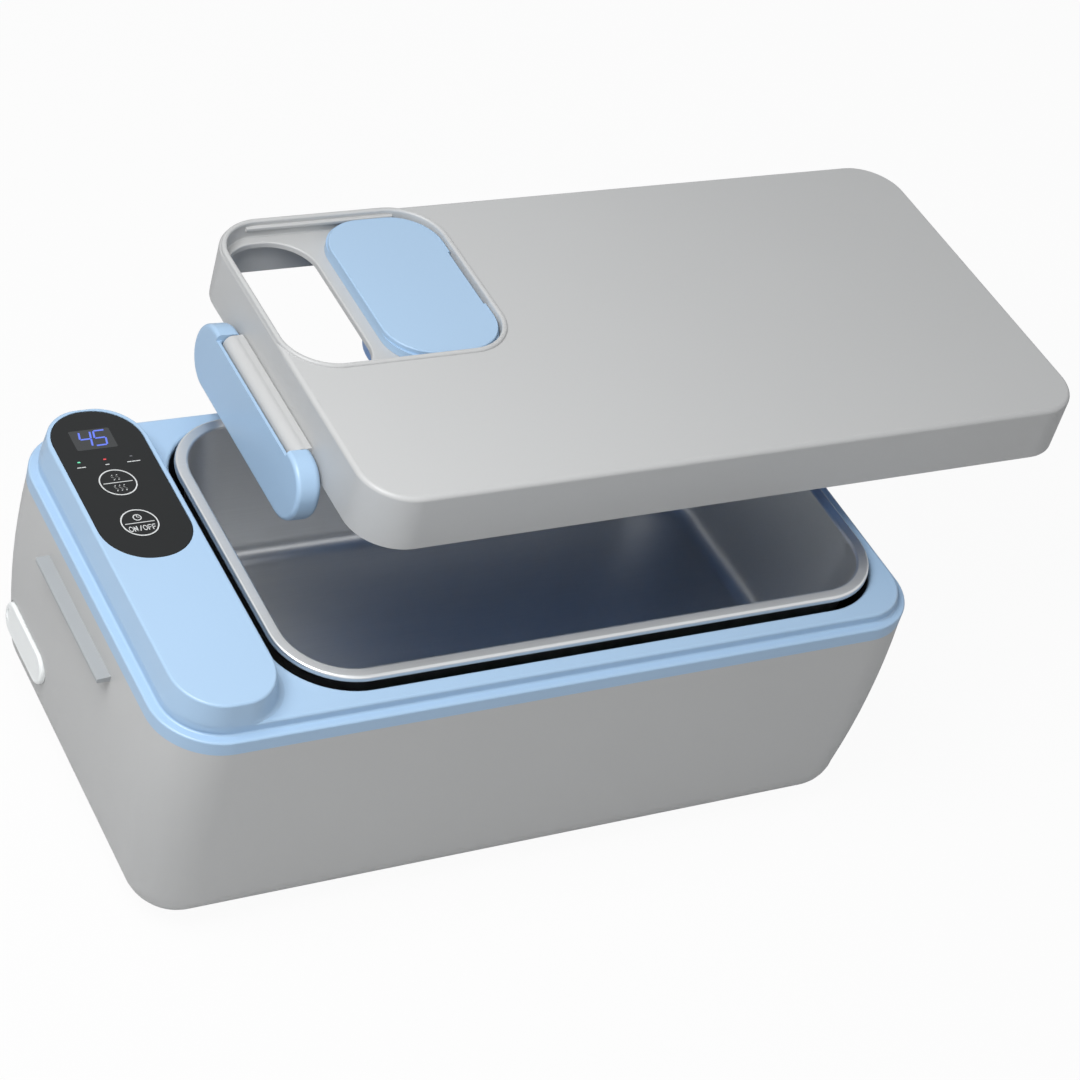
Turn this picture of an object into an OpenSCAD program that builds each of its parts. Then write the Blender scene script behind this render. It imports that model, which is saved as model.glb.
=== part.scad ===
// Electric lunch box: a heated, battery powered food box with a lift-off lid.
// Millimetres. Origin: on the floor under the middle of the body. +X runs along the length to
// the right, +Y to the back, +Z up. The lid stands lifted off, beside and above its seat.

/* [Body] */
// Length of the body at the colour joint
body_l = 270; // [240:1:300]
// Width of the body at the colour joint
body_w = 143.8; // [136:0.1:160]
// Height of the colour joint between lower housing and top frame
joint_z = 82; // [78:0.5:95]
// How far each end leans in from the colour joint down to the base
end_draft = 6.2; // [4:0.1:12]
// How far each long side leans in from the colour joint down to the base
side_draft = 4.3; // [3:0.1:12]
// How far the end walls swell out half way down
end_swell = 2.4; // [0:0.1:4]
// How far the side walls swell out half way down
side_swell = 1.2; // [0:0.1:4]
// Radius of the rounded edge round the base
base_edge = 14.4; // [10:0.1:18]
// Plan radius of the body corners at the colour joint
corner_r = 21; // [18:0.5:24]
// Plan radius of the body corners at the base
base_r = 16; // [15:0.5:21]
// Wall thickness of the plastic housings
wall = 2.4; // [2:0.1:3]
// Height of the rubber feet
foot_h = 1.8; // [1:0.1:3]

/* [Top frame] */
// Height of the rim's outer face
rim_h = 4.9; // [4:0.1:7]
// Width of the ledge that the lid skirt sits on
ledge_w = 3.3; // [2.8:0.1:3.6]
// Height of the step from the ledge up to the platform
step_h = 3.3; // [2.5:0.1:4]
// Height of the control pod above the colour joint
pod_h = 17; // [14:0.5:18]
// Width of the control pod's top
pod_w = 32.6; // [30:0.1:34]

/* [Tray] */
// Length of the steel tray over its flange
tray_l = 217.5; // [205:0.5:219]
// Width of the steel tray over its flange
tray_w = 122.8; // [116:0.2:124]
// Inside depth of the tray
tray_depth = 55; // [45:1:56]
// Width of the tray flange
flange_w = 4.5; // [3.5:0.1:6]
// Thickness of the tray's steel
tray_t = 0.8; // [0.5:0.1:1]

/* [Lid] */
// Height of the lid
lid_h = 20.5; // [19:0.5:24]
// Length of the lid
lid_l = 271.2; // [268:0.1:274]
// Width of the lid
lid_w = 142; // [141:0.1:146]
// Plan radius of the lid's corners
lid_r = 17; // [15:0.5:21]
// Thickness of the lid's skirt
skirt_t = 2.1; // [1.8:0.1:2.4]
// Offset of the lifted lid along the length
lid_dx = 74.6; // [60:0.1:90]
// Offset of the lifted lid across the width
lid_dy = 39.9; // [30:0.1:60]
// Offset of the lifted lid upwards
lid_dz = 27.7; // [25:0.1:40]

/* [Latches] */
// Length of each latch barrel
barrel_l = 57.2; // [50:0.1:62]
// Length of each end cheek of the latch lever
cheek_l = 13.6; // [7:0.1:14]
// Angle at which the levers hang out from straight down
flare = 3; // [2:1:20]

/* [Hidden] */
$fn = 64;
hull_fn = 32;
slip = 0.3;          // running gap between neighbours on different bodies
hair = 0.01;         // thickness of the discs that a hull is stretched over

// Heights of the body, bottom to top
floor_z = foot_h + 2.8;
ledge_z = joint_z + rim_h;
platform_z = ledge_z + step_h;
deck_z = platform_z - 2.2;
pod_z = joint_z + pod_h;

// Half sizes at the colour joint
half_l = body_l / 2;
half_w = body_w / 2;
plat_l = half_l - ledge_w;
plat_w = half_w - ledge_w;

// How far the walls have leaned in at a height
function lean(z) = (joint_z - z) / (joint_z - foot_h);
function swell(z) = 4 * lean(z) * (1 - lean(z));
function end_x(z) = half_l - end_draft * lean(z) + end_swell * swell(z);
function side_y(z) = half_w - side_draft * lean(z) + side_swell * swell(z);
function plan_r(z) = corner_r + (base_r - corner_r) * lean(z);

// Tray and well
tray_gap = 1.3;
tray_x1 = 126;
tray_x0 = tray_x1 - tray_l;
tray_cx = (tray_x0 + tray_x1) / 2;
tray_top = joint_z + 12;
tray_floor = tray_top - tray_depth;
tray_r = 25;
open_l = tray_l + 2 * tray_gap;
open_w = tray_w + 2 * tray_gap;
open_r = tray_r + tray_gap;
tray_taper = 4.6;
mouth_l = tray_l - 2 * flange_w;
mouth_w = tray_w - 2 * flange_w;
mouth_r = tray_r - flange_w;
well_t = 1.2;
well_floor = tray_floor - tray_t - 0.3;
well_top = deck_z;
well_boss_h = 2;
well_flange_t = 1.4;
well_flange_l = 228.1;
well_flange_dx = -2.1;
well_screw_x = [tray_x0 + 3.6, tray_x1 - 3.5];
well_screw_y = 59.5;

// Control pod
pod_x0 = -plat_l;
pod_x1 = pod_x0 + 1.5 + pod_w;
pod_cx = pod_x0 + 1.5 + pod_w / 2;
pod_r = 14.5;
glass_cx = -114;
glass_l = 69.8;
glass_w = 30.2;
glass_cy = 31.8;
glass_t = 1.5;
board_z = pod_z - 6.6;
board_t = 1.2;
board_holes = [for (x = [-10.2, 10.2], y = [-26, 26]) [x, y]];
key_y = [32.1, 13];
led_x = [-8.8, -0.6, 7.6];
led_y = 43.3;
digit_y = 53.4;

// Inlet on the left end
port_y = 38.8;
port_z = 27.2;
port_face = -132.6;
port_l = 33.5;
port_h = 12;
cover_t = 1.9;
jack_y = port_y - 6;
jack_r = 2.2;
thread_r = 3;

// Inside stack, bottom to top
cell_r = 9.2;
cell_len = 65;
cell_pitch = 19.4;
cell_count = 8;
cell_z = floor_z + 0.8 + cell_r;
shield_z = cell_z + cell_r + 1.2;
pad_z = shield_z + 0.9;
plate_t = 2.4;
plate_z = well_floor - well_t - plate_t - 0.1;
ptc_h = 3.9;
ptc_z = plate_z - ptc_h;
pad_t = ptc_z - pad_z - 0.1;
heater_x = [-30, 62];
rib_x = 20;
rib_y = 48;
rib_t = 1.6;

// Control board in the left compartment, and its plugs
board_x = -104;
card_t = 1.6;
card_y = 38;
card_z = [39, 71];
plug_x = board_x + card_t / 2 + 3;
plug_z = 44;
lead_end = plug_z - 3.9;
battery_plug_y = -12;
heater_plug_y = -29;
inlet_plug_x = board_x - card_t / 2 - 3;
inlet_plug_y = 26;

// Long screws that hold the frame down in the left compartment
post_x = -107;
post_y = 52;
post_z = 62;
post_r = 3.6;
post_top = 86;

// Snap lugs at the right end
lug_y = [-30, 30];
lug_r = 1.3;
lug_z = joint_z - 2.4;
lug_x = end_x(lug_z) - wall - 0.7;

// Lid, described where it closes and then moved to its lifted place
lid_z0 = ledge_z + 0.1;
lid_z1 = lid_z0 + lid_h;
lid_hl = lid_l / 2;
lid_hw = lid_w / 2;
lid_under = lid_z1 - 2.4;
skirt_l = lid_hl - skirt_t;
skirt_w = lid_hw - skirt_t;

// Window pocket and shutter
pocket_l = 78;
pocket_w = 74.6;
pocket_cx = -94.6;
pocket_cy = 31.4;
pocket_r = 16;
lip_w = 1.8;
lip_h = 0.9;
lip_r = pocket_r + lip_w;
pocket_floor = lid_z1 - 5.6;
pocket_under = pocket_floor - 2;
hole_l = 31.2;
hole_w = 70.6;
hole_cx = pocket_cx - (pocket_l - hole_l) / 2 + 0.6;
hole_cy = pocket_cy - (pocket_w - hole_w) / 2 + 0.6;
hole_r = 14.5;
shut_l = 41.4;
shut_cx = pocket_cx + (pocket_l - shut_l) / 2 - 0.3;
shut_top = lid_z1 - 1;
rail_w = 1.2;
rail_h = 1.6;
shut_r = pocket_r - 0.4;
shut_travel = pocket_l - shut_l - 0.6;
grip_w = 1.2;
grip_l = 28.4;
grip_h = 2.2;

// Liner plug that drops into the tray
plug_bottom = lid_z0 - 15.1;
plug_gap = 1.7;
plug_l = mouth_l - 2 * plug_gap;
plug_w = mouth_w - 2 * plug_gap;
plug_r = mouth_r - plug_gap;
liner_top = pocket_under - 0.2;
liner_t = 2;
plug_lean = 1;
liner_screw_points = [for (x = [-46, 30, 106], y = [-60, 60]) [x, y]];

// Latches
barrel_r = 3.4;
barrel_cx = lid_hl + 3.7;
barrel_cz = lid_z0 + 3.6;
barrel_cy = 0.9;
pin_r = 1.25;
pin_l = barrel_l + 14.8;
knuckle_r = 3.4;
plate_gap = 0.3;
lever_t = 2;
lever_in = barrel_r + plate_gap;
lever_l = barrel_l + 2 * cheek_l + 2 * slip;
catch_top = joint_z - 7.7;
catch_t = 1.6;
catch_tip = half_l + 4.7;
catch_cy = 1.5;
catch_l = 55.4;
hook_top = catch_top - catch_t - slip;
hook_t = 1.6;
hook_reach = -0.5;
lever_drop = barrel_cz - hook_top + hook_t;

// Detent under the shutter
ball_r = 1.8;
ball_x = -93.9;
ball_y = pocket_cy;
ball_z = pocket_floor - 1.3;
cup_r = 2.7;
cup_depth = 4;
groove_end = 1.2;

// ---------- shared shapes ----------

// Rectangle with round corners, centred, as a flat outline
module round_rect(l, w, r) {
    square([l, w - 2 * r], center = true);
    square([l - 2 * r, w], center = true);
    for (x = [-1, 1], y = [-1, 1])
        translate([x * (l / 2 - r), y * (w / 2 - r)])
            circle(r);
}

// Upright slab with round corners from z0 to z1
module slab(l, w, r, z0, z1) {
    translate([0, 0, z0])
        linear_extrude(z1 - z0)
            round_rect(l, w, r);
}

// Leaning block with round corners, stretched over levels of [z, half length, half width, radius]
module block(levels) {
    hull()
        for (v = levels, x = [-1, 1], y = [-1, 1])
            translate([x * (v[1] - v[3]), y * (v[2] - v[3]), v[0]])
                cylinder(r = v[3], h = hair, $fn = hull_fn);
}

// Pill shaped bar along Y on a face that looks along -X, from x0 to x1
module pill_x(length, height, x0, x1) {
    translate([x0, 0, 0])
        rotate([90, 0, 90])
            linear_extrude(x1 - x0)
                round_rect(length, height, height / 2 - 0.01);
}

// Straight round wire between two points
module wire(a, b, r) {
    d = b - a;
    len_xy = norm([d[0], d[1]]);
    translate(a)
        rotate([0, atan2(len_xy, d[2]), atan2(d[1], d[0])])
            translate([0, 0, -r / 2])
                cylinder(r = r, h = norm(d) + r, $fn = 8);
}

// Wire along a list of points
module wire_run(points, r) {
    for (i = [0 : len(points) - 2])
        wire(points[i], points[i + 1], r);
}

// Pan head screw pointing up, its head's underside at the origin
module screw(shank_r, shank_l, head_r, head_h) {
    cylinder(r = shank_r, h = shank_l);
    translate([0, 0, -head_h])
        difference() {
            cylinder(r = head_r, h = head_h);
            for (a = [0, 90])
                rotate([0, 0, a])
                    translate([0, 0, head_h * 0.2])
                        cube([head_r * 1.2, head_r * 0.25, head_h * 0.5], center = true);
        }
}

// Puts a lid part in its lifted place
module lifted() {
    translate([lid_dx, lid_dy, lid_dz])
        children();
}

// Both ends of the box: +1 keeps the right end, -1 mirrors to the left end
module at_end(side) {
    mirror([side < 0 ? 1 : 0, 0, 0])
        children();
}

// ---------- body ----------

module lower_housing() {
    bottom = foot_h;
    inner_edge = base_edge - wall;
    color("#b4b7b8")
        difference() {
            union() {
                difference() {
                    union() {
                        housing_block(0, bottom, base_edge, joint_z - hair);
                        for (side = [-1, 1])
                            at_end(side)
                                catch_ledge();
                    }
                    housing_block(wall, floor_z, inner_edge, joint_z + 1);
                }
                inlet_boss();
            }
            // seat of the white cover's rim
            translate([0, port_y, port_z])
                pill_x(port_l + 1, port_h + 1, port_face - 3, port_face);
            // inlet bore, the seat of the socket's flange and the seat of the cover
            translate([port_face, jack_y, port_z])
                rotate([0, 90, 0]) {
                    translate([0, 0, -1])
                        cylinder(r = thread_r + 0.1, h = 12);
                    translate([0, 0, -1])
                        cylinder(r = thread_r + 1, h = 3.2);
                }
            translate([0, port_y, port_z])
                pill_x(port_l - 4, 4.4, port_face - 1, port_face + 1.4);
            // grooves for the frame's lugs
            for (y = lug_y)
                translate([lug_x, y, lug_z])
                    rotate([90, 0, 0])
                        cylinder(r = lug_r + 0.1, h = 12.4, center = true);
            // long screw holes
            for (y = [-post_y, post_y])
                translate([post_x, y, 0]) {
                    cylinder(r = 1.7, h = floor_z + 1);
                    cylinder(r = 3.4, h = foot_h + 1.6);
                }
        }
    color("#b4b7b8") {
        // ribs that carry the heat shield
        for (y = [-rib_y, rib_y])
            translate([rib_x, y, floor_z - 0.5])
                linear_extrude(shield_z - floor_z + 0.4)
                    square([150, rib_t], center = true);
        // posts that the long screws pass through
        for (y = [-post_y, post_y])
            translate([post_x, y, floor_z - 0.5])
                difference() {
                    cylinder(r = post_r, h = post_z - floor_z + 0.3);
                    translate([0, 0, -1])
                        cylinder(r = 1.7, h = post_z);
                }
        // uprights that the control board screws to
        for (y = [-card_y, card_y])
            difference() {
                translate([board_x + card_t / 2, y - 3, floor_z - 0.5])
                    cube([4.6, 6, 71]);
                for (z = card_z)
                    translate([board_x, y, z])
                        rotate([0, 90, 0])
                            cylinder(r = 1.25, h = 8);
            }
    }
}

// The housing's outer form, or its hollow when inset is set, from z0 to z1
module housing_block(inset, z0, edge, z1) {
    steps = 5;
    base = [for (i = [0 : steps])
        let (a = 90 * i / steps, z = z0 + edge * (1 - cos(a)), in = inset + edge * (1 - sin(a)))
        [z, end_x(z) - in, side_y(z) - in, max(plan_r(z) - in, 1.5)]];
    walls = [for (i = [1 : steps])
        let (z = z0 + edge + (z1 - z0 - edge) * i / steps)
        [z, end_x(z) - inset, side_y(z) - inset, plan_r(z) - inset]];
    block(concat(base, walls));
}

module catch_ledge() {
    // sloped bar that the latch hook pulls under
    root = end_x(catch_top) - 1.5;
    translate([0, catch_cy + catch_l / 2, 0])
        rotate([90, 0, 0])
            linear_extrude(catch_l)
                polygon([[root, catch_top + 0.4], [catch_tip - 0.6, catch_top], [catch_tip, catch_top - 0.6],
                    [catch_tip, catch_top - catch_t], [root, catch_top - catch_t]]);
}

module inlet_boss() {
    // thick pad inside the end wall that the socket is nutted to
    translate([0, port_y, port_z])
        pill_x(port_l, port_h + 5, port_face + 0.6, port_face + 6.5);
}

module top_frame() {
    inset = 2.2;
    color("#aecdea") {
        difference() {
            union() {
                slab(body_l, body_w, corner_r, joint_z, ledge_z);
                slab(2 * plat_l, 2 * plat_w, corner_r - ledge_w, ledge_z - 1, platform_z);
                pod_block(0, platform_z - 3, pod_z);
                // locating skirt inside the lower housing
                slab(body_l - 2 * wall - 1.6, body_w - 2 * wall - 1.6, corner_r - wall - 0.8, joint_z - 4, joint_z);
            }
            // hollow under the deck
            slab(2 * (plat_l - inset), 2 * (plat_w - inset), corner_r - ledge_w - inset, joint_z - 5, deck_z);
            pod_block(wall, deck_z - 1, pod_z - wall);
            // tray opening
            translate([tray_cx, 0, 0])
                slab(open_l, open_w, open_r, joint_z - 6, platform_z + 1);
            for (x = well_screw_x, y = [-well_screw_y, well_screw_y])
                translate([x, y, deck_z - 3])
                    cylinder(r = 1.05, h = 4.6);
            // glass seat and the window under it
            translate([glass_cx, glass_cy, 0]) {
                slab(glass_w + 0.2, glass_l + 0.2, glass_w / 2 - 0.3, pod_z - glass_t, pod_z + 1);
                slab(20, 56, 3, pod_z - 6, pod_z);
            }
        }
        // bosses for the well screws
        for (x = well_screw_x, y = [-well_screw_y, well_screw_y])
            translate([x, y, deck_z - well_boss_h])
                tube(2.8, 1.05, well_boss_h + 0.1);
        // bosses for the touch board
        for (p = board_holes)
            translate([glass_cx + p[0], glass_cy + p[1], board_z + board_t])
                tube(1.9, 0.98, pod_z - glass_t - board_z - board_t - 0.1);
        // posts for the long screws, each with a web to the long wall
        for (side = [-1, 1]) {
            translate([post_x, side * post_y, post_z])
                tube(post_r, 1.3, post_top - post_z, 20);
            translate([post_x, side * (post_y + plat_w - inset + post_r) / 2, post_top - 7])
                cube([2, plat_w - inset - post_y - post_r + 2, 14], center = true);
        }
        // lugs that snap into the right end wall of the lower housing
        for (y = lug_y)
            translate([lug_x, y, lug_z])
                rotate([90, 0, 0])
                    cylinder(r = lug_r, h = 12, center = true);
    }
}

// Upright post with a pilot hole from below, as deep as the post unless depth is given
module tube(outer, inner, height, depth = 0) {
    difference() {
        cylinder(r = outer, h = height);
        translate([0, 0, -1])
            cylinder(r = inner, h = 1 + (depth > 0 ? depth : height + 1));
    }
}

// The raised pod, or its hollow when inset is set. Each level is
// [z, middle in x, half width in x, half length in y, radius]
module pod_block(inset, z0, z1) {
    foot_hw = (pod_x1 + 1.9 - pod_x0) / 2;
    levels = [[z0, pod_x0 + 0.3 + foot_hw, foot_hw, plat_w - 0.3, pod_r + 2.5],
        [z1 - 0.9, pod_cx, pod_w / 2 + 0.25, plat_w - 0.6, pod_r],
        [z1 - hair, pod_cx, pod_w / 2 - 0.5, plat_w - 1.3, pod_r - 0.7]];
    hull()
        for (v = levels, x = [-1, 1], y = [-1, 1])
            translate([v[1] + x * (v[2] - v[4]), y * (v[3] - v[4]), v[0]])
                cylinder(r = v[4] - inset, h = hair, $fn = hull_fn);
}

module frame_screws() {
    color("#8f9498")
        for (y = [-post_y, post_y])
            translate([post_x, y, foot_h + 1.6])
                screw(1.25, post_z - foot_h + 8, 3, 1.5);
}

module rubber_feet() {
    // four at the corners and one under the middle
    color("#3a3c3e")
        for (p = [[-100, -42], [-100, 42], [100, -42], [100, 42], [0, 0]])
            translate([p[0], p[1], 0])
                cylinder(r = 6, h = foot_h);
}

// ---------- control pod ----------

module touch_glass() {
    color("#34363a")
        translate([glass_cx, glass_cy, 0])
            slab(glass_w, glass_l, glass_w / 2 - 0.4, pod_z - glass_t + 0.02, pod_z + 0.05);
}

module touch_board() {
    color("#2f6b45")
        translate([glass_cx, glass_cy, 0])
            difference() {
                slab(25, 60, 9.5, board_z, board_z + board_t);
                for (p = board_holes)
                    translate([p[0], p[1], board_z - 1])
                        cylinder(r = 1.1, h = 4);
            }
}

module display_module() {
    bottom = board_z + board_t;
    top = pod_z - glass_t - 0.3;
    color("#1d1f22")
        translate([glass_cx - 7.5, digit_y - 5, bottom])
            cube([15, 10, top - bottom]);
    color("#6f7fd0")
        for (x = [-3.4, 3.4])
            translate([glass_cx + x, digit_y, top])
                cube([5, 8, 0.3], center = true);
}

module indicator_leds() {
    bottom = board_z + board_t;
    color("#e8f2ea")
        for (x = led_x)
            translate([glass_cx + x, led_y, bottom])
                cylinder(r = 1, h = pod_z - glass_t - 0.2 - bottom);
}

module touch_pads() {
    // conductive foam posts between the board and the glass, one under each key
    bottom = board_z + board_t;
    color("#2b2d30")
        for (y = key_y)
            translate([glass_cx, y, bottom])
                cylinder(r = 4.2, h = pod_z - glass_t - bottom);
}

module control_board() {
    color("#2f6b45")
        translate([board_x, 0, 55])
            difference() {
                cube([card_t, 84, 40], center = true);
                for (y = [-card_y, card_y], z = card_z)
                    translate([-2, y, z - 55])
                        rotate([0, 90, 0])
                            cylinder(r = 1.5, h = 4);
            }
}

module control_parts() {
    // relay, processor, capacitors and coil on the outer face, and the plugs for the leads
    face = board_x - card_t / 2;
    color("#2a2d31") {
        translate([face - 8, -32, 54])
            cube([8, 16, 12]);
        translate([face - 2, -1, 51])
            cube([2, 10, 10]);
    }
    color("#7b8790") {
        for (y = [-6, 18])
            translate([face, y, 66])
                rotate([0, -90, 0])
                    cylinder(r = 4, h = 11);
        translate([face, -8, 44])
            rotate([0, -90, 0])
                cylinder(r = 6, h = 7);
    }
    color("#e9e4d4") {
        for (y = [battery_plug_y, heater_plug_y])
            translate([plug_x, y, plug_z])
                cube([6, 10, 6], center = true);
        translate([inlet_plug_x, inlet_plug_y, plug_z])
            cube([6, 10, 6], center = true);
    }
}

module board_screws() {
    color("#8f9498") {
        for (y = [-card_y, card_y], z = card_z)
            translate([board_x - card_t / 2, y, z])
                rotate([0, 90, 0])
                    screw(1.2, 5.6, 2.6, 1.6);
        for (p = board_holes)
            translate([glass_cx + p[0], glass_cy + p[1], board_z])
                screw(0.95, 4.2, 1.9, 1.2);
    }
}

module display_ribbon() {
    // flat cable from the touch board down to the control board
    foil = 0.3;
    run = board_x - card_t / 2 + 107.2;
    color("#d8d9dc")
        translate([-107.2, 14, 0])
            rotate([90, 0, 0])
                linear_extrude(12)
                    polygon([[0, board_z], [-foil, board_z], [-foil, 78], [run - foil, 74],
                        [run - foil, 70.2], [run, 70.2], [run, 74.1], [0, 78.1]]);
}

// ---------- heating ----------

module well_block(extra, bottom, top) {
    foot_l = mouth_l / 2 - tray_taper + 1.9;
    foot_w = mouth_w / 2 - tray_taper + 1.9;
    block([[bottom, foot_l + extra, foot_w + extra, mouth_r - tray_taper + 1.9 + extra],
        [top, open_l / 2 + extra, open_w / 2 + extra, open_r + extra]]);
}

module heating_well() {
    flange_top = well_top - well_boss_h;
    color("#5b6066")
        difference() {
            union() {
                translate([tray_cx, 0, 0])
                    well_block(well_t, well_floor - well_t, well_top - hair);
                translate([tray_cx + well_flange_dx, 0, 0])
                    slab(well_flange_l, 2 * 65.8, 15, flange_top - well_flange_t, flange_top);
            }
            translate([tray_cx, 0, 0])
                well_block(0, well_floor, well_top + hair);
            for (x = well_screw_x, y = [-well_screw_y, well_screw_y])
                translate([x, y, flange_top - 3])
                    cylinder(r = 1.3, h = 6);
        }
}

module well_screws() {
    color("#8f9498")
        for (x = well_screw_x, y = [-well_screw_y, well_screw_y])
            translate([x, y, well_top - well_boss_h - well_flange_t])
                screw(1, 4.6, 2.2, 1.2);
}

module heater_plate() {
    color("#c4c8cb")
        translate([tray_cx, 0, 0])
            slab(180, 92, 12, plate_z, plate_z + plate_t);
}

module ptc_heaters() {
    color("#d9cfc0")
        for (x = heater_x)
            translate([x, 0, ptc_z + ptc_h / 2])
                cube([60, 22, ptc_h - 0.05], center = true);
}

module heater_clamps() {
    color("#9aa0a5")
        for (x = heater_x, s = [-22, 22])
            translate([x + s, 0, 0])
                difference() {
                    translate([0, 0, ptc_z + ptc_h / 2 - 0.3])
                        cube([6, 34, ptc_h + 0.6], center = true);
                    translate([0, 0, ptc_z + ptc_h / 2])
                        cube([8, 22.1, ptc_h], center = true);
                }
}

module thermal_fuse() {
    color("#caa75a")
        translate([16, -16, ptc_z + 1.9])
            rotate([0, 90, 0])
                cylinder(r = 1.8, h = 12, center = true);
    color("#8a8d91")
        for (s = [-1, 1])
            translate([16 + s * 9, -16, ptc_z + 1.9])
                rotate([0, 90, 0])
                    cylinder(r = 0.5, h = 6, center = true);
}

module temperature_sensor() {
    color("#2b2b2e")
        translate([16, 16, ptc_z + 1.6])
            cylinder(r = 3, h = ptc_h - 1.65);
}

module insulation_pad() {
    color("#e9e7df")
        translate([tray_cx, 0, 0])
            slab(190, 96, 10, pad_z, pad_z + pad_t - 0.6);
}

module heat_shield() {
    color("#aeb3b7")
        translate([tray_cx, 0, 0])
            difference() {
                slab(196, 102, 8, shield_z, shield_z + 0.8);
                for (x = [-80, 80])
                    translate([x, 0, shield_z - 1])
                        cylinder(r = 5, h = 3);
            }
}

// ---------- battery ----------

function cell_x(i) = tray_cx + (i - (cell_count - 1) / 2) * cell_pitch;

module battery_cells() {
    color("#3f78b5")
        for (i = [0 : cell_count - 1])
            translate([cell_x(i), 0, cell_z])
                rotate([90, 0, 0])
                    cylinder(r = cell_r, h = cell_len, center = true);
}

module cell_straps() {
    color("#c9ccd0")
        for (i = [0 : 2 : cell_count - 2], s = [-1, 1])
            translate([(cell_x(i) + cell_x(i + 1)) / 2, s * (cell_len / 2 + 0.13), cell_z])
                cube([cell_pitch + 8, 0.22, 7], center = true);
}

module cell_holder() {
    color("#2b2d30")
        for (s = [-1, 1])
            translate([tray_cx, s * 22, 0])
                difference() {
                    translate([0, 0, floor_z + (2 * cell_r + 1.2) / 2])
                        cube([cell_count * cell_pitch + 4, 8, 2 * cell_r + 1.2], center = true);
                    for (i = [0 : cell_count - 1])
                        translate([cell_x(i) - tray_cx, 0, cell_z])
                            rotate([90, 0, 0])
                                cylinder(r = cell_r + 0.05, h = 10, center = true);
                }
}

module battery_board() {
    card_face = rib_y - rib_t / 2 - 1.4;
    color("#2f6b45")
        translate([tray_cx - 35, card_face, floor_z + 2])
            cube([70, 1.4, 14]);
    color("#25272a")
        for (x = [-24, -4, 14])
            translate([tray_cx + x, card_face - 1.7, floor_z + 6])
                cube([8, 1.7, 6]);
}

module battery_leads() {
    start = [tray_cx - 35.9, rib_y - 2.2];
    turn = [-80, start[1]];
    color("#c43b34")
        wire_run([[start[0], start[1], 16.6], [turn[0], turn[1], 16.6], [-96, 22, 16.6],
            [plug_x + 1.5, battery_plug_y + 2, 24], [plug_x + 1.5, battery_plug_y + 2, lead_end]], 0.9);
    color("#2a2a2c")
        wire_run([[start[0], start[1], 10.6], [turn[0], turn[1], 10.6], [-99, 20, 10.6],
            [plug_x - 1.5, battery_plug_y - 2, 24], [plug_x - 1.5, battery_plug_y - 2, lead_end]], 0.9);
}

module heater_leads() {
    lead_z = ptc_z + 1.9;
    color("#e4e2dc")
        for (s = [-1, 1]) {
            wire_run([[heater_x[0] - 30.9, s * 5, lead_z], [-88, s * 5, lead_z],
                [plug_x, heater_plug_y + s * 2, 37.5], [plug_x, heater_plug_y + s * 2, lead_end]], 0.8);
            wire_run([[heater_x[0] + 30.9, s * 5, lead_z], [heater_x[1] - 30.9, s * 5, lead_z]], 0.8);
        }
}

// ---------- inlet ----------

module dc_socket() {
    color("#232528")
        translate([port_face, jack_y, port_z])
            rotate([0, 90, 0]) {
                difference() {
                    union() {
                        translate([0, 0, 1.4])
                            cylinder(r = thread_r + 0.9, h = 0.8);
                        translate([0, 0, 2])
                            cylinder(r = thread_r, h = 10);
                        translate([0, 0, 11])
                            cylinder(r = thread_r + 1.6, h = 8);
                    }
                    cylinder(r = jack_r, h = 13);
                }
                translate([0, 0, 3])
                    cylinder(r = 0.65, h = 11);
            }
}

module socket_nut() {
    color("#a9adb1")
        translate([port_face + 6.7, jack_y, port_z])
            rotate([0, 90, 0])
                difference() {
                    cylinder(r = 5.4, h = 2.2, $fn = 6);
                    translate([0, 0, -1])
                        cylinder(r = thread_r + 0.05, h = 5);
                }
}

module socket_leads() {
    start_x = port_face + 19.9;
    color("#c43b34")
        wire_run([[start_x, jack_y + 2, port_z], [inlet_plug_x, inlet_plug_y + 2, 30],
            [inlet_plug_x, inlet_plug_y + 2, lead_end]], 0.9);
    color("#2a2a2c")
        wire_run([[start_x, jack_y - 2, port_z], [inlet_plug_x, inlet_plug_y - 2, 30],
            [inlet_plug_x, inlet_plug_y - 2, lead_end]], 0.9);
}

module port_cover() {
    color("#e8ebeb")
        translate([0, port_y, port_z]) {
            difference() {
                pill_x(port_l, port_h, port_face - cover_t, port_face - 0.1);
                // fingernail crescent
                translate([port_face - cover_t - 0.5, port_l / 2 - 3.6, 0])
                    rotate([0, 90, 0])
                        difference() {
                            cylinder(r = 2.4, h = 1);
                            translate([0, -1.1, -1])
                                cylinder(r = 2.4, h = 3);
                        }
            }
            // plugs that hold the cover in the inlet
            pill_x(port_l - 5, 3.8, port_face - 0.6, port_face + 1.1);
            translate([0, jack_y - port_y, 0])
                rotate([0, 90, 0])
                    translate([0, 0, port_face - 0.6])
                        difference() {
                            cylinder(r = jack_r - 0.15, h = 8);
                            translate([0, 0, 1])
                                cylinder(r = 1.1, h = 9);
                        }
        }
}

// ---------- tray ----------

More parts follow.
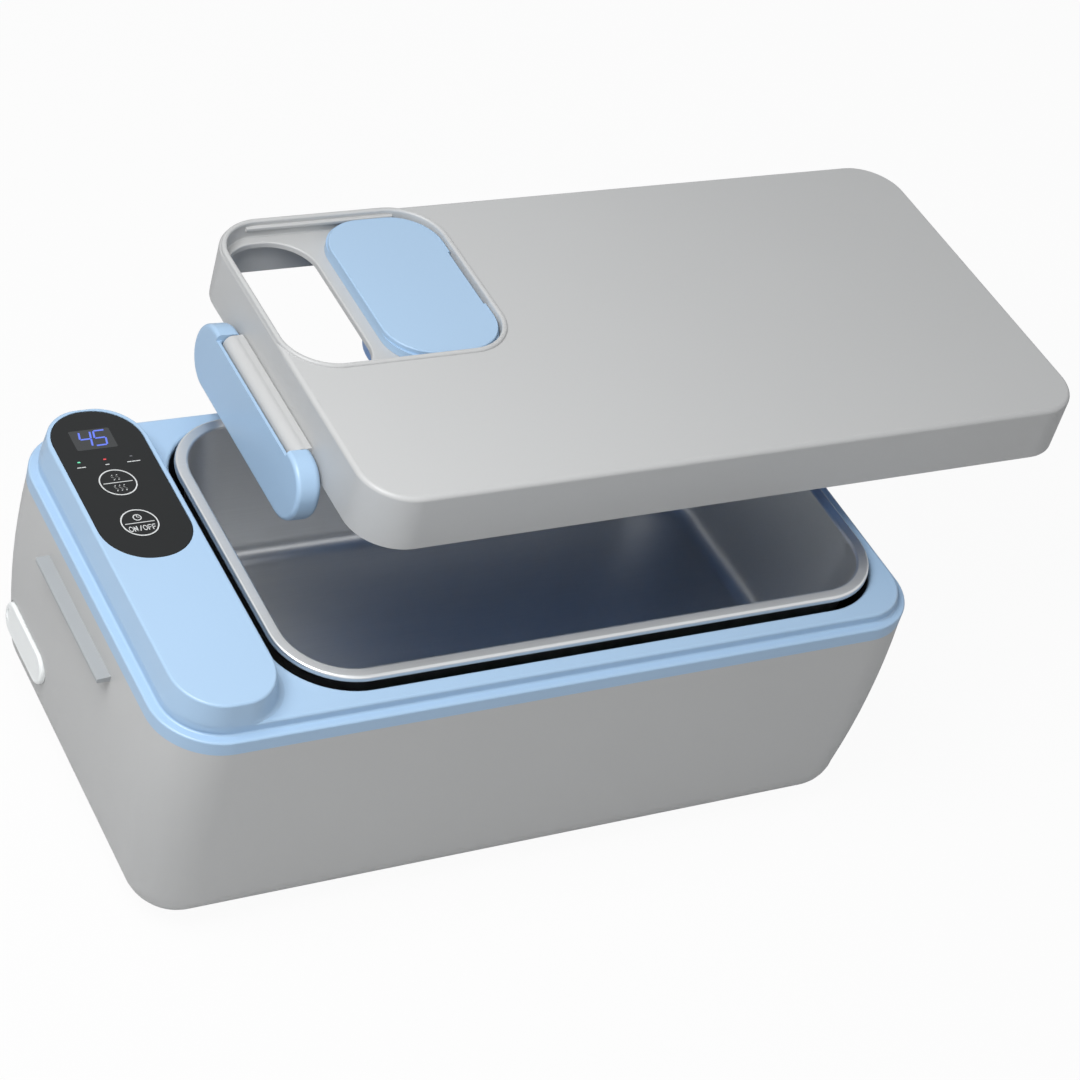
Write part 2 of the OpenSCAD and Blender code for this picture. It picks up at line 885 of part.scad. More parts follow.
module food_tray() {
    roll = 1.9;
    color("#c3c6c8")
        translate([tray_cx, 0, 0])
            difference() {
                union() {
                    slab(tray_l, tray_w, tray_r, tray_top - tray_t, tray_top);
                    // turned-down edge
                    slab(tray_l, tray_w, tray_r, tray_top - roll, tray_top - 0.3);
                    block([[tray_floor - tray_t, mouth_l / 2 - tray_taper - 3, mouth_w / 2 - tray_taper - 3,
                            mouth_r - tray_taper - 3],
                        [tray_floor + 3.5, mouth_l / 2 - tray_taper + tray_t, mouth_w / 2 - tray_taper + tray_t,
                            mouth_r - tray_taper + tray_t],
                        [tray_top - 0.5, mouth_l / 2 + tray_t, mouth_w / 2 + tray_t, mouth_r + tray_t]]);
                }
                block([[tray_floor, mouth_l / 2 - tray_taper - 3, mouth_w / 2 - tray_taper - 3,
                        mouth_r - tray_taper - 3],
                    [tray_floor + 3.5, mouth_l / 2 - tray_taper, mouth_w / 2 - tray_taper, mouth_r - tray_taper],
                    [tray_top + 0.1, mouth_l / 2, mouth_w / 2, mouth_r]]);
                // hollow under the turned-down edge
                difference() {
                    slab(tray_l - 2 * tray_t, tray_w - 2 * tray_t, tray_r - tray_t, tray_top - roll - 1,
                        tray_top - tray_t);
                    block([[tray_floor, mouth_l / 2 - tray_taper + tray_t, mouth_w / 2 - tray_taper + tray_t,
                            mouth_r - tray_taper + tray_t],
                        [tray_top, mouth_l / 2 + tray_t, mouth_w / 2 + tray_t, mouth_r + tray_t]]);
                }
            }
}

// ---------- lid ----------

module lid_shell() {
    edge = 1.6;
    color("#c3c5c6")
        lifted()
            difference() {
                union() {
                    difference() {
                        block([[lid_z0, lid_hl, lid_hw, lid_r],
                            [lid_z1 - edge, lid_hl - 0.02, lid_hw - 0.02, lid_r],
                            [lid_z1 - edge * 0.3, lid_hl - edge * 0.3, lid_hw - edge * 0.3, lid_r - edge * 0.3],
                            [lid_z1 - hair, lid_hl - edge, lid_hw - edge, lid_r - edge]]);
                        slab(2 * skirt_l, 2 * skirt_w, lid_r - skirt_t, lid_z0 - 1, lid_under);
                    }
                    // window pocket with its raised lip
                    translate([pocket_cx, pocket_cy, 0])
                        slab(pocket_l + 2 * lip_w, pocket_w + 2 * lip_w, lip_r,
                            pocket_under, lid_z1 + lip_h);
                    // cup that holds the detent spring
                    translate([ball_x, ball_y, pocket_under - cup_depth])
                        cylinder(r = cup_r, h = cup_depth + 1);
                    // bosses for the liner screws
                    for (p = liner_screw_points)
                        translate([p[0], p[1], liner_top])
                            cylinder(r = 3.2, h = lid_under - liner_top + 0.5);
                    for (side = [-1, 1])
                        at_end(side)
                            latch_barrel();
                }
                difference() {
                    translate([pocket_cx, pocket_cy, 0])
                        slab(pocket_l, pocket_w, pocket_r, pocket_floor, lid_z1 + lip_h + 1);
                    // rail bars on the long walls of the pocket
                    for (s = [-1, 1])
                        translate([pocket_cx, pocket_cy + s * (pocket_w - rail_w) / 2, shut_top - rail_h / 2])
                            cube([pocket_l - 2 * pocket_r + 8, rail_w + 0.02, rail_h], center = true);
                }
                translate([hole_cx, hole_cy, 0])
                    slab(hole_l, hole_w, hole_r, pocket_under - 1, pocket_floor + 1);
                translate([ball_x, ball_y, pocket_under - cup_depth + 1])
                    cylinder(r = ball_r + 0.15, h = cup_depth + 4);
                for (side = [-1, 1])
                    at_end(side)
                        barrel_bore();
                for (p = liner_screw_points)
                    translate([p[0], p[1], liner_top - 1])
                        cylinder(r = 1.1, h = 3);
            }
}

module latch_barrel() {
    translate([barrel_cx, barrel_cy, barrel_cz])
        rotate([90, 0, 0])
            cylinder(r = barrel_r, h = barrel_l, center = true);
    // web that joins the barrel to the end of the lid
    translate([lid_hl - 1, barrel_cy - barrel_l / 2, barrel_cz - 2.6])
        cube([barrel_cx - lid_hl + 1, barrel_l, 5.8]);
}

module barrel_bore() {
    translate([barrel_cx, barrel_cy, barrel_cz])
        rotate([90, 0, 0])
            cylinder(r = pin_r + 0.02, h = barrel_l + 10, center = true);
}

module lid_liner() {
    // blue inner pan: a plate under the lid and a plug that drops into the tray
    plug_top = liner_top - liner_t;
    color("#8fb8e6")
        lifted()
            difference() {
                union() {
                    translate([tray_cx + 0.6, 0, 0])
                        slab(plug_l + 4.6, 2 * 65, 20, plug_top, liner_top);
                    translate([tray_cx, 0, 0])
                        block([[plug_bottom, plug_l / 2 - plug_lean, plug_w / 2 - plug_lean, plug_r - plug_lean],
                            [plug_top + 1, plug_l / 2, plug_w / 2, plug_r]]);
                }
                translate([tray_cx, 0, 0])
                    block([[plug_bottom + liner_t, plug_l / 2 - plug_lean - liner_t,
                            plug_w / 2 - plug_lean - liner_t, plug_r - plug_lean - liner_t],
                        [liner_top + 1, plug_l / 2 - liner_t, plug_w / 2 - liner_t, plug_r - liner_t]]);
                for (p = liner_screw_points)
                    translate([p[0], p[1], plug_top - 1])
                        cylinder(r = 1.2, h = liner_t + 2);
            }
}

module lid_seal() {
    // collar round the plug with a lip that presses on the tray flange
    low = tray_top + slip;
    color("#dfe3e4")
        lifted()
            translate([tray_cx, 0, 0])
                difference() {
                    union() {
                        slab(tray_l - 1, tray_w - 1, tray_r - 0.5, low, low + 1.5);
                        slab(plug_l + 3.2, plug_w + 3.2, plug_r + 1.6, low, liner_top - liner_t);
                    }
                    slab(plug_l, plug_w, plug_r, low - 1, liner_top);
                }
}

module liner_screws() {
    color("#8f9498")
        lifted()
            for (p = liner_screw_points)
                translate([p[0], p[1], liner_top - liner_t])
                    screw(1, 2.4, 2.2, 1.2);
}

module latch_pins() {
    color("#c9ccd0")
        lifted()
            for (side = [-1, 1])
                at_end(side)
                    translate([barrel_cx, barrel_cy, barrel_cz])
                        rotate([90, 0, 0])
                            cylinder(r = pin_r, h = pin_l, center = true);
}

module detent_ball() {
    color("#c9ccd0")
        lifted()
            translate([ball_x, ball_y, ball_z])
                sphere(ball_r);
}

module detent_spring() {
    // three disc springs, cupped in turn upwards and downwards
    bottom = pocket_under - cup_depth + 1;
    count = 3;
    pitch = (ball_z - ball_r - bottom) / count;
    color("#b9bdc1")
        lifted()
            translate([ball_x, ball_y, bottom])
                for (i = [0 : count - 1])
                    translate([0, 0, (i + (i % 2)) * pitch])
                        mirror([0, 0, i % 2])
                            rotate_extrude()
                                polygon([[0.8, pitch - 0.2], [0.8, pitch], [1.8, 0.2], [1.8, 0]]);
}

module window_shutter() {
    plate_w = pocket_w - 2 * rail_w - 0.6;
    tongue_w = pocket_w - 0.6;
    tongue_z = shut_top - rail_h - 0.2;
    color("#b3d1ec")
        lifted()
            translate([shut_cx, pocket_cy, 0])
                difference() {
                    union() {
                        block([[pocket_floor + 0.1, shut_l / 2, plate_w / 2, shut_r],
                            [shut_top - 0.7, shut_l / 2 - 0.02, plate_w / 2 - 0.02, shut_r - 0.02],
                            [shut_top - hair, shut_l / 2 - 0.6, plate_w / 2 - 0.6, shut_r - 0.6]]);
                        slab(shut_l, tongue_w, shut_r, pocket_floor + 0.1, tongue_z);
                    }
                    // groove and two dimples that the detent ball runs in
                    translate([ball_x - shut_cx - groove_end, -1.5, pocket_floor])
                        cube([shut_travel + 2 * groove_end, 3, 0.75]);
                    for (x = [0, shut_travel])
                        translate([ball_x - shut_cx + x, 0, pocket_floor])
                            cylinder(r = 1.6, h = 1);
                    // grip notch along the right edge
                    translate([shut_l / 2 - grip_w / 2 + 0.5, 0, shut_top - grip_h])
                        linear_extrude(grip_h + 1)
                            square([grip_w + 1, grip_l], center = true);
                }
}

// Latch lever, drawn hanging straight down at the right end, round its pin
module lever() {
    height = lever_drop + knuckle_r;
    difference() {
        intersection() {
            union() {
                lever_section(lever_l);
                for (s = [-1, 1])
                    translate([0, s * (lever_l - cheek_l) / 2, 0])
                        cheek();
            }
            // pill shaped outline seen from the end of the box
            translate([0, 0, knuckle_r - height / 2])
                pill_x(lever_l, height, -10, 10);
        }
        rotate([90, 0, 0])
            cylinder(r = pin_r + 0.03, h = pin_l + 0.4, center = true);
        // room for the barrel
        rotate([90, 0, 0])
            cylinder(r = barrel_r + plate_gap - 0.02, h = barrel_l + 2 * slip, center = true);
        translate([-4, 0, 0])
            cube([8, barrel_l + 2 * slip, 2 * (barrel_r + plate_gap)], center = true);
    }
}

// Outer plate with its inward hook
module lever_section(length) {
    rotate([90, 0, 0])
        linear_extrude(length, center = true) {
            translate([lever_in, -lever_drop + 2])
                square([lever_t, lever_drop + 0.8]);
            translate([lever_in + lever_t - 2, -lever_drop + 2])
                circle(2);
            translate([-hook_reach, -lever_drop])
                square([hook_reach + lever_in + lever_t - 2, hook_t]);
            translate([-hook_reach, -lever_drop + hook_t / 2])
                circle(hook_t / 2);
        }
}

// Rounded end cheek that carries the pin. It stays slim above the lid's lower edge
module cheek() {
    rotate([90, 0, 0])
        linear_extrude(cheek_l, center = true)
            union() {
                circle(knuckle_r);
                translate([-3, -12])
                    square([lever_in + lever_t + 3, 12]);
                translate([1.2, -13])
                    circle(4.4);
                translate([lever_in + lever_t - 3.2, 0])
                    circle(3.2);
            }
}

module latch(side) {
    lifted()
        at_end(side)
            translate([barrel_cx, barrel_cy, barrel_cz])
                rotate([0, -flare, 0])
                    lever();
}

module latch_left() {
    color("#a9cbea")
        latch(-1);
}

module latch_right() {
    color("#a9cbea")
        latch(1);
}

// ---------- assembly ----------

lower_housing();
top_frame();
frame_screws();
rubber_feet();
touch_glass();
touch_board();
display_module();
indicator_leds();
touch_pads();
control_board();
control_parts();
board_screws();
display_ribbon();
heating_well();
well_screws();
heater_plate();
ptc_heaters();
heater_clamps();
thermal_fuse();
temperature_sensor();
insulation_pad();
heat_shield();
battery_cells();
cell_straps();
cell_holder();
battery_board();
battery_leads();
heater_leads();
dc_socket();
socket_nut();
socket_leads();
port_cover();
food_tray();
detent_ball();
detent_spring();
lid_shell();
lid_liner();
lid_seal();
liner_screws();
latch_pins();
window_shutter();
latch_left();
latch_right();
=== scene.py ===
# %% [markdown]
# # An electric lunch box with a lifted lid
# The box is a tapered grey tub with a pale blue frame on top, a control pod at its left end,
# a steel food tray, and a lid that stands lifted beside its seat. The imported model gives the
# frame: every place and every joint comes from it, and this file only makes the looks.

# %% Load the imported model
import math

import bpy
from mathutils import Matrix, Vector


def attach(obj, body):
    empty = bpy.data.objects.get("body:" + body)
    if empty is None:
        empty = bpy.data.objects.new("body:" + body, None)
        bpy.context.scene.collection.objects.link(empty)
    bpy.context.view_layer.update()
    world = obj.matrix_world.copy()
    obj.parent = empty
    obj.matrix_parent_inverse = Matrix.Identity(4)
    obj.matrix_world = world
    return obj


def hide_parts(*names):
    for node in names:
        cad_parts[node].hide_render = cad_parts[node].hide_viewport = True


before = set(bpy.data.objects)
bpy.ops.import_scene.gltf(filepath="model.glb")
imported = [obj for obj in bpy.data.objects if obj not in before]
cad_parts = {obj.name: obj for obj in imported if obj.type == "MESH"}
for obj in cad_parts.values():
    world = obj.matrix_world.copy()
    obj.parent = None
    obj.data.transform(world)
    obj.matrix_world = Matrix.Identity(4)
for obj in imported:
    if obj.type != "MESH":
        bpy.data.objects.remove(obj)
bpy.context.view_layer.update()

# %% [markdown]
# ## Sizes
# A few driving sizes in metres, the same as in the solids. Most other numbers come from them,
# so the pieces meet where the solids do.

# %% Driving sizes
MM = 0.001
BODY_L, BODY_W, CORNER = 270 * MM, 143.8 * MM, 21 * MM
FOOT_Z, JOINT_Z = 1.8 * MM, 82 * MM
RIM_H, LEDGE_W, STEP_H = 4.9 * MM, 3.3 * MM, 3.3 * MM
LEDGE_Z = JOINT_Z + RIM_H
DECK_Z = LEDGE_Z + STEP_H
POD_Z = JOINT_Z + 17 * MM
TRAY_X, TRAY_L, TRAY_W = 17.25 * MM, 217.5 * MM, 122.8 * MM
TRAY_R, TRAY_TOP, TRAY_FLOOR = 25 * MM, 94 * MM, 39 * MM
LID_L, LID_W, LID_H, LID_R = 271.2 * MM, 142 * MM, 20.5 * MM, 17 * MM
LIFT = Vector((74.6 * MM, 39.9 * MM, 27.7 * MM))
LID_Z = LEDGE_Z + 0.1 * MM
LID_TOP = LID_Z + LID_H
print("deck at", round(DECK_Z, 4), "closed lid from", round(LID_Z, 4), "to", round(LID_TOP, 4))

# %% [markdown]
# ## Camera
# A long lens, so that parallel edges stay nearly parallel. The camera looks down from the
# front left, and it is rolled so that the long edges climb to the right.

# %% Camera
CAMERA_AT = Vector((-0.4555, -0.6230, 0.7171))
TURN, DOWN, ROLL = math.radians(37.66), math.radians(39.06), math.radians(17.36)

look = Vector((math.cos(DOWN) * math.sin(TURN), math.cos(DOWN) * math.cos(TURN), -math.sin(DOWN)))
level_right = look.cross(Vector((0, 0, 1))).normalized()
level_up = level_right.cross(look)
right = level_right * math.cos(ROLL) + level_up * math.sin(ROLL)
up = level_up * math.cos(ROLL) - level_right * math.sin(ROLL)

bpy.ops.object.camera_add()
camera = bpy.context.object
camera.name = "camera"
camera.data.lens = 102.2
camera.data.sensor_width = 36
camera.data.clip_start = 0.05
turned = Matrix((right, up, -look)).transposed().to_4x4()
camera.matrix_world = Matrix.Translation(CAMERA_AT) @ turned
bpy.context.scene.camera = camera
print("camera at", tuple(round(v, 3) for v in CAMERA_AT))

# %% [markdown]
# ## Light and floor
# One large soft lamp high on the left does most of the work, so upward faces are brightest,
# left faces next, and front faces darker. A weak lamp in front opens the shadows. The world
# is plain grey light, but the camera, reflections and clear parts see it as white.

# %% World
GREY_LIGHT = 0.34
world = bpy.data.worlds.new("studio")
bpy.context.scene.world = world
world.use_nodes = True
nodes, links = world.node_tree.nodes, world.node_tree.links
nodes.clear()
path = nodes.new("ShaderNodeLightPath")
seen = nodes.new("ShaderNodeMath")
seen.operation = "MAXIMUM"
seen_through = nodes.new("ShaderNodeMath")
seen_through.operation = "MAXIMUM"
soft = nodes.new("ShaderNodeBackground")
soft.inputs["Color"].default_value = (0.97, 0.98, 1.0, 1)
soft.inputs["Strength"].default_value = GREY_LIGHT
white = nodes.new("ShaderNodeBackground")
white.inputs["Color"].default_value = (1, 1, 1, 1)
white.inputs["Strength"].default_value = 1.0
mix = nodes.new("ShaderNodeMixShader")
out = nodes.new("ShaderNodeOutputWorld")
links.new(path.outputs["Is Camera Ray"], seen.inputs[0])
links.new(path.outputs["Is Glossy Ray"], seen.inputs[1])
links.new(seen.outputs[0], seen_through.inputs[0])
links.new(path.outputs["Is Transmission Ray"], seen_through.inputs[1])
links.new(seen_through.outputs[0], mix.inputs["Fac"])
links.new(soft.outputs[0], mix.inputs[1])
links.new(white.outputs[0], mix.inputs[2])
links.new(mix.outputs[0], out.inputs["Surface"])
print("world: grey light, seen as white")

# %% Lamps
AIM = Vector((0.03, 0.0, 0.09))


def area_lamp(name, place, size, power):
    """Adds a square soft lamp that faces the box."""
    bpy.ops.object.light_add(type="AREA", location=place)
    lamp = bpy.context.object
    lamp.name = name
    lamp.data.shape = "SQUARE"
    lamp.data.size = size
    lamp.data.energy = power
    lamp.rotation_euler = (AIM - Vector(place)).to_track_quat("-Z", "Y").to_euler()
    return lamp


area_lamp("key_lamp", (-0.38, -0.10, 0.66), 0.40, 4.6)
area_lamp("front_lamp", (-0.10, -1.10, 0.55), 0.8, 1.6)

# %% Floor
FLOOR_MATTE, FLOOR_GLOW = 0.62, 0.95
bpy.ops.mesh.primitive_plane_add(size=6, location=(0, 0, 0))
floor = bpy.context.object
floor.name = "studio_floor"
paper = bpy.data.materials.new("floor_paper")
paper.use_nodes = True
nodes, links = paper.node_tree.nodes, paper.node_tree.links
nodes.clear()
matte = nodes.new("ShaderNodeBsdfDiffuse")
matte.inputs["Color"].default_value = (FLOOR_MATTE, FLOOR_MATTE, FLOOR_MATTE, 1)
glow = nodes.new("ShaderNodeEmission")
glow.inputs["Strength"].default_value = 1.0
path = nodes.new("ShaderNodeLightPath")
share = nodes.new("ShaderNodeMath")
share.operation = "MULTIPLY"
share.inputs[1].default_value = FLOOR_GLOW
mix = nodes.new("ShaderNodeMixShader")
out = nodes.new("ShaderNodeOutputMaterial")
links.new(path.outputs["Is Camera Ray"], share.inputs[0])
links.new(share.outputs[0], mix.inputs["Fac"])
links.new(matte.outputs[0], mix.inputs[1])
links.new(glow.outputs[0], mix.inputs[2])
links.new(mix.outputs[0], out.inputs["Surface"])
floor.data.materials.append(paper)
bpy.context.scene.view_settings.view_transform = "Standard"
print("floor keeps the shadow")

# %% [markdown]
# ## Shared surface effects
# Moulded plastic is never quite smooth: the mould leaves a fine grain, and the gloss drifts a
# little over a large face. Steel from a roll has long fine lines. Each effect is one node
# group with named sockets, so every material that uses it sets its own amounts.

# %% Helpers for node groups
def new_group(name, inputs, outputs):
    """Makes an empty shader group. inputs and outputs are (name, kind, default) rows."""
    group = bpy.data.node_groups.new(name, "ShaderNodeTree")
    for label, kind, default in inputs:
        socket = group.interface.new_socket(label, in_out="INPUT", socket_type=kind)
        socket.default_value = default
    for label, kind in outputs:
        group.interface.new_socket(label, in_out="OUTPUT", socket_type=kind)
    start = group.nodes.new("NodeGroupInput")
    end = group.nodes.new("NodeGroupOutput")
    return group, start, end


def add_math(group, operation, a, b):
    """Adds a Math node; a and b are sockets or numbers."""
    node = group.nodes.new("ShaderNodeMath")
    node.operation = operation
    for slot, value in zip(node.inputs, (a, b)):
        if isinstance(value, (int, float)):
            slot.default_value = value
        else:
            group.links.new(value, slot)
    return node.outputs[0]


COLOR, NUMBER = "NodeSocketColor", "NodeSocketFloat"

# %% Moulded grain
mould_grain, start, end = new_group(
    "mould_grain",
    [("Color", COLOR, (0.5, 0.5, 0.5, 1)), ("Tint Drift", NUMBER, 0.04),
     ("Roughness", NUMBER, 0.4), ("Gloss Drift", NUMBER, 0.08), ("Grain Size", NUMBER, 2200.0)],
    [("Color", COLOR), ("Roughness", NUMBER), ("Height", NUMBER)])
place = mould_grain.nodes.new("ShaderNodeTexCoord")
grain = mould_grain.nodes.new("ShaderNodeTexNoise")
grain.inputs["Detail"].default_value = 3
cloud = mould_grain.nodes.new("ShaderNodeTexNoise")
cloud.inputs["Scale"].default_value = 14
cloud.inputs["Detail"].default_value = 2
mould_grain.links.new(place.outputs["Object"], grain.inputs["Vector"])
mould_grain.links.new(place.outputs["Object"], cloud.inputs["Vector"])
mould_grain.links.new(start.outputs["Grain Size"], grain.inputs["Scale"])
centred = add_math(mould_grain, "SUBTRACT", cloud.outputs["Fac"], 0.5)
drift = add_math(mould_grain, "MULTIPLY", centred, start.outputs["Tint Drift"])
speck = add_math(mould_grain, "SUBTRACT", grain.outputs["Fac"], 0.5)
fine = add_math(mould_grain, "MULTIPLY", speck, start.outputs["Tint Drift"])
level = add_math(mould_grain, "ADD", add_math(mould_grain, "ADD", drift, fine), 1.0)
shade = mould_grain.nodes.new("ShaderNodeVectorMath")
shade.operation = "SCALE"
mould_grain.links.new(start.outputs["Color"], shade.inputs[0])
mould_grain.links.new(level, shade.inputs["Scale"])
mould_grain.links.new(shade.outputs[0], end.inputs["Color"])
gloss = add_math(mould_grain, "MULTIPLY", centred, start.outputs["Gloss Drift"])
mould_grain.links.new(add_math(mould_grain, "ADD", start.outputs["Roughness"], gloss),
                      end.inputs["Roughness"])
mould_grain.links.new(grain.outputs["Fac"], end.inputs["Height"])
print("group", mould_grain.name)

# %% Rolled metal lines
roll_lines, start, end = new_group(
    "roll_lines",
    [("Color", COLOR, (0.6, 0.6, 0.6, 1)), ("Line Contrast", NUMBER, 0.1),
     ("Roughness", NUMBER, 0.3), ("Roughness Spread", NUMBER, 0.12),
     ("Along X", NUMBER, 30.0), ("Across Y", NUMBER, 1800.0), ("Across Z", NUMBER, 1800.0)],
    [("Color", COLOR), ("Roughness", NUMBER), ("Height", NUMBER)])
place = roll_lines.nodes.new("ShaderNodeTexCoord")
stretch = roll_lines.nodes.new("ShaderNodeCombineXYZ")
scaled = roll_lines.nodes.new("ShaderNodeVectorMath")
scaled.operation = "MULTIPLY"
for label, axis in (("Along X", "X"), ("Across Y", "Y"), ("Across Z", "Z")):
    roll_lines.links.new(start.outputs[label], stretch.inputs[axis])
roll_lines.links.new(place.outputs["Object"], scaled.inputs[0])
roll_lines.links.new(stretch.outputs[0], scaled.inputs[1])
lines = roll_lines.nodes.new("ShaderNodeTexNoise")
lines.inputs["Scale"].default_value = 1.0
lines.inputs["Detail"].default_value = 4
roll_lines.links.new(scaled.outputs[0], lines.inputs["Vector"])
centred = add_math(roll_lines, "SUBTRACT", lines.outputs["Fac"], 0.5)
level = add_math(roll_lines, "ADD",
                 add_math(roll_lines, "MULTIPLY", centred, start.outputs["Line Contrast"]), 1.0)
shade = roll_lines.nodes.new("ShaderNodeVectorMath")
shade.operation = "SCALE"
roll_lines.links.new(start.outputs["Color"], shade.inputs[0])
roll_lines.links.new(level, shade.inputs["Scale"])
roll_lines.links.new(shade.outputs[0], end.inputs["Color"])
spread = add_math(roll_lines, "MULTIPLY", centred, start.outputs["Roughness Spread"])
roll_lines.links.new(add_math(roll_lines, "ADD", start.outputs["Roughness"], spread),
                     end.inputs["Roughness"])
roll_lines.links.new(lines.outputs["Fac"], end.inputs["Height"])
print("group", roll_lines.name)

# %% [markdown]
# ## Finishes
# Each finish is a Principled material whose colour, roughness and bump come from one of the
# groups. Colours are written as they look on screen and turned to linear values here.

# %% Finish makers
def linear(red, green, blue):
    """Screen colour 0 to 255 as a linear colour."""
    def one(value):
        value /= 255
        return value / 12.92 if value <= 0.04045 else ((value + 0.055) / 1.055) ** 2.4
    return (one(red), one(green), one(blue), 1)


def grouped_finish(name, group, settings, bump, bump_depth, constants):
    """Makes a material whose Principled shader reads one of the groups."""
    material = bpy.data.materials.new(name)
    material.use_nodes = True
    tree = material.node_tree
    shader = tree.nodes["Principled BSDF"]
    effect = tree.nodes.new("ShaderNodeGroup")
    effect.node_tree = group
    for label, value in settings.items():
        effect.inputs[label].default_value = value
    tree.links.new(effect.outputs["Color"], shader.inputs["Base Color"])
    tree.links.new(effect.outputs["Roughness"], shader.inputs["Roughness"])
    relief = tree.nodes.new("ShaderNodeBump")
    relief.inputs["Strength"].default_value = bump
    relief.inputs["Distance"].default_value = bump_depth
    tree.links.new(effect.outputs["Height"], relief.inputs["Height"])
    tree.links.new(relief.outputs["Normal"], shader.inputs["Normal"])
    for label, value in constants.items():
        shader.inputs[label].default_value = value
    return material


def moulded(name, color, roughness, grain_size=2200.0, tint=0.04, gloss=0.08, bump=0.12, **constants):
    """Moulded plastic, rubber or board."""
    return grouped_finish(name, mould_grain, {
        "Color": linear(*color), "Tint Drift": tint, "Roughness": roughness,
        "Gloss Drift": gloss, "Grain Size": grain_size}, bump, 0.00005, constants)


def rolled(name, color, roughness, contrast=0.1, spread=0.12, along=30.0, across=1800.0,
           bump=0.1, **constants):
    """Metal with fine lines along X."""
    return grouped_finish(name, roll_lines, {
        "Color": linear(*color), "Line Contrast": contrast, "Roughness": roughness,
        "Roughness Spread": spread, "Along X": along, "Across Y": across, "Across Z": across},
        bump, 0.00003, {"Metallic": 1.0, **constants})


# %% The finishes
grey_shell = moulded("grey_shell", (187, 188, 188), 0.38)
# Darker grey for the catch ledges, which are the same moulding as the tub: painted shade from the frame
# above them.
ledge_painted_shade = moulded("ledge_painted_shade", (158, 162, 165), 0.36)
blue_shell = moulded("blue_shell", (162, 191, 219), 0.32)
# Deeper blue for the lid pan: its own blue, made darker than the frame's as painted shade for its place
# beneath the lid.
blue_pan_painted_shade = moulded("blue_pan_painted_shade", (112, 152, 206), 0.34)
cover_white = moulded("cover_white", (240, 243, 243), 0.5)
seal_white = moulded("seal_white", (205, 210, 212), 0.6)
foot_rubber = moulded("foot_rubber", (44, 45, 47), 0.75, bump=0.3)
dark_part = moulded("dark_part", (38, 39, 42), 0.45)
board_green = moulded("board_green", (34, 92, 58), 0.35)
lead_sleeve = moulded("lead_sleeve", (170, 60, 54), 0.45)
cell_wrap = moulded("cell_wrap", (58, 112, 170), 0.28)
ptc_ceramic = moulded("ptc_ceramic", (206, 198, 182), 0.6)
fibre_pad = moulded("fibre_pad", (222, 219, 210), 0.9, grain_size=900.0, tint=0.25, bump=0.6)
lens_clear = moulded("lens_clear", (214, 228, 220), 0.2)
control_glass = moulded("control_glass", (22, 24, 25), 0.34, tint=0.02, gloss=0.03, bump=0.02)
control_glass.node_tree.nodes["Principled BSDF"].inputs["Specular IOR Level"].default_value = 0.2
print_white = moulded("print_white", (206, 208, 208), 0.5)
window_glass = moulded("window_glass", (37, 40, 42), 0.2, tint=0.02, gloss=0.03, bump=0.02)


def lit(name, color, strength):
    """A moulded finish that also shines in its own colour."""
    material = moulded(name, color, 0.4, tint=0.10)
    tree = material.node_tree
    shader, effect = tree.nodes["Principled BSDF"], next(n for n in tree.nodes if n.type == "GROUP")
    tree.links.new(effect.outputs["Color"], shader.inputs["Emission Color"])
    shader.inputs["Emission Strength"].default_value = strength
    return material


digit_blue = lit("digit_blue", (88, 108, 205), 0.35)
lamp_green = lit("lamp_green", (92, 190, 150), 0.6)
lamp_red = lit("lamp_red", (200, 60, 66), 0.6)
lamp_off = moulded("lamp_off", (92, 94, 98), 0.3)
tray_steel = rolled("tray_steel", (206, 208, 210), 0.36)
small_steel = rolled("small_steel", (182, 184, 187), 0.3)
plate_aluminium = rolled("plate_aluminium", (198, 202, 206), 0.36)
# Dark grey on the heating well is painted shade for the deep gap round the tray; the rolled lines are the
# metal's own.
well_painted_shade = rolled("well_painted_shade", (88, 92, 98), 0.45)
fuse_brass = rolled("fuse_brass", (196, 160, 92), 0.32)
print("finishes:", len(bpy.data.materials))

# %% Finishes on the solids that stay as they are
NODE_FINISH = {
    "lower_housing": grey_shell, "top_frame": blue_shell, "frame_screws": small_steel,
    "rubber_feet": foot_rubber, "touch_glass": control_glass, "touch_board": board_green,
    "display_module": dark_part, "indicator_leds": lens_clear, "touch_pads": foot_rubber,
    "control_board": board_green, "control_parts": dark_part, "board_screws": small_steel,
    # The heating well's dark grey is painted shade for the gap round the tray.
    "display_ribbon": lead_sleeve, "heating_well": well_painted_shade, "well_screws": small_steel,
    "heater_plate": plate_aluminium, "ptc_heaters": ptc_ceramic, "heater_clamps": small_steel,
    "thermal_fuse": fuse_brass, "temperature_sensor": dark_part, "insulation_pad": fibre_pad,
    "heat_shield": plate_aluminium, "battery_cells": cell_wrap, "cell_straps": small_steel,
    "cell_holder": dark_part, "battery_board": board_green, "battery_leads": lead_sleeve,
    "heater_leads": lead_sleeve, "dc_socket": dark_part, "socket_nut": small_steel,
    "socket_leads": lead_sleeve, "port_cover": cover_white, "food_tray": tray_steel,
    "detent_ball": small_steel, "detent_spring": small_steel, "lid_shell": grey_shell,
    "lid_liner": blue_pan_painted_shade, "lid_seal": seal_white, "liner_screws": small_steel,
    "latch_pins": small_steel, "window_shutter": blue_shell, "latch_left": blue_shell,
    "latch_right": blue_shell,
}
for name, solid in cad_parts.items():
    solid.data.materials.clear()
    solid.data.materials.append(NODE_FINISH[name])
print("solids with a finish:", len(NODE_FINISH))

# %% [markdown]
# ## Tools for the pieces
# Moulded parts start as a block. Its upright edges are rounded, and its caps are then stepped
# inward and up or down, which follows the part's cross-section like a lofted profile.

# %% Modelling helpers
TINY = 1e-6
NEAR, FACING = 1e-5, 0.9


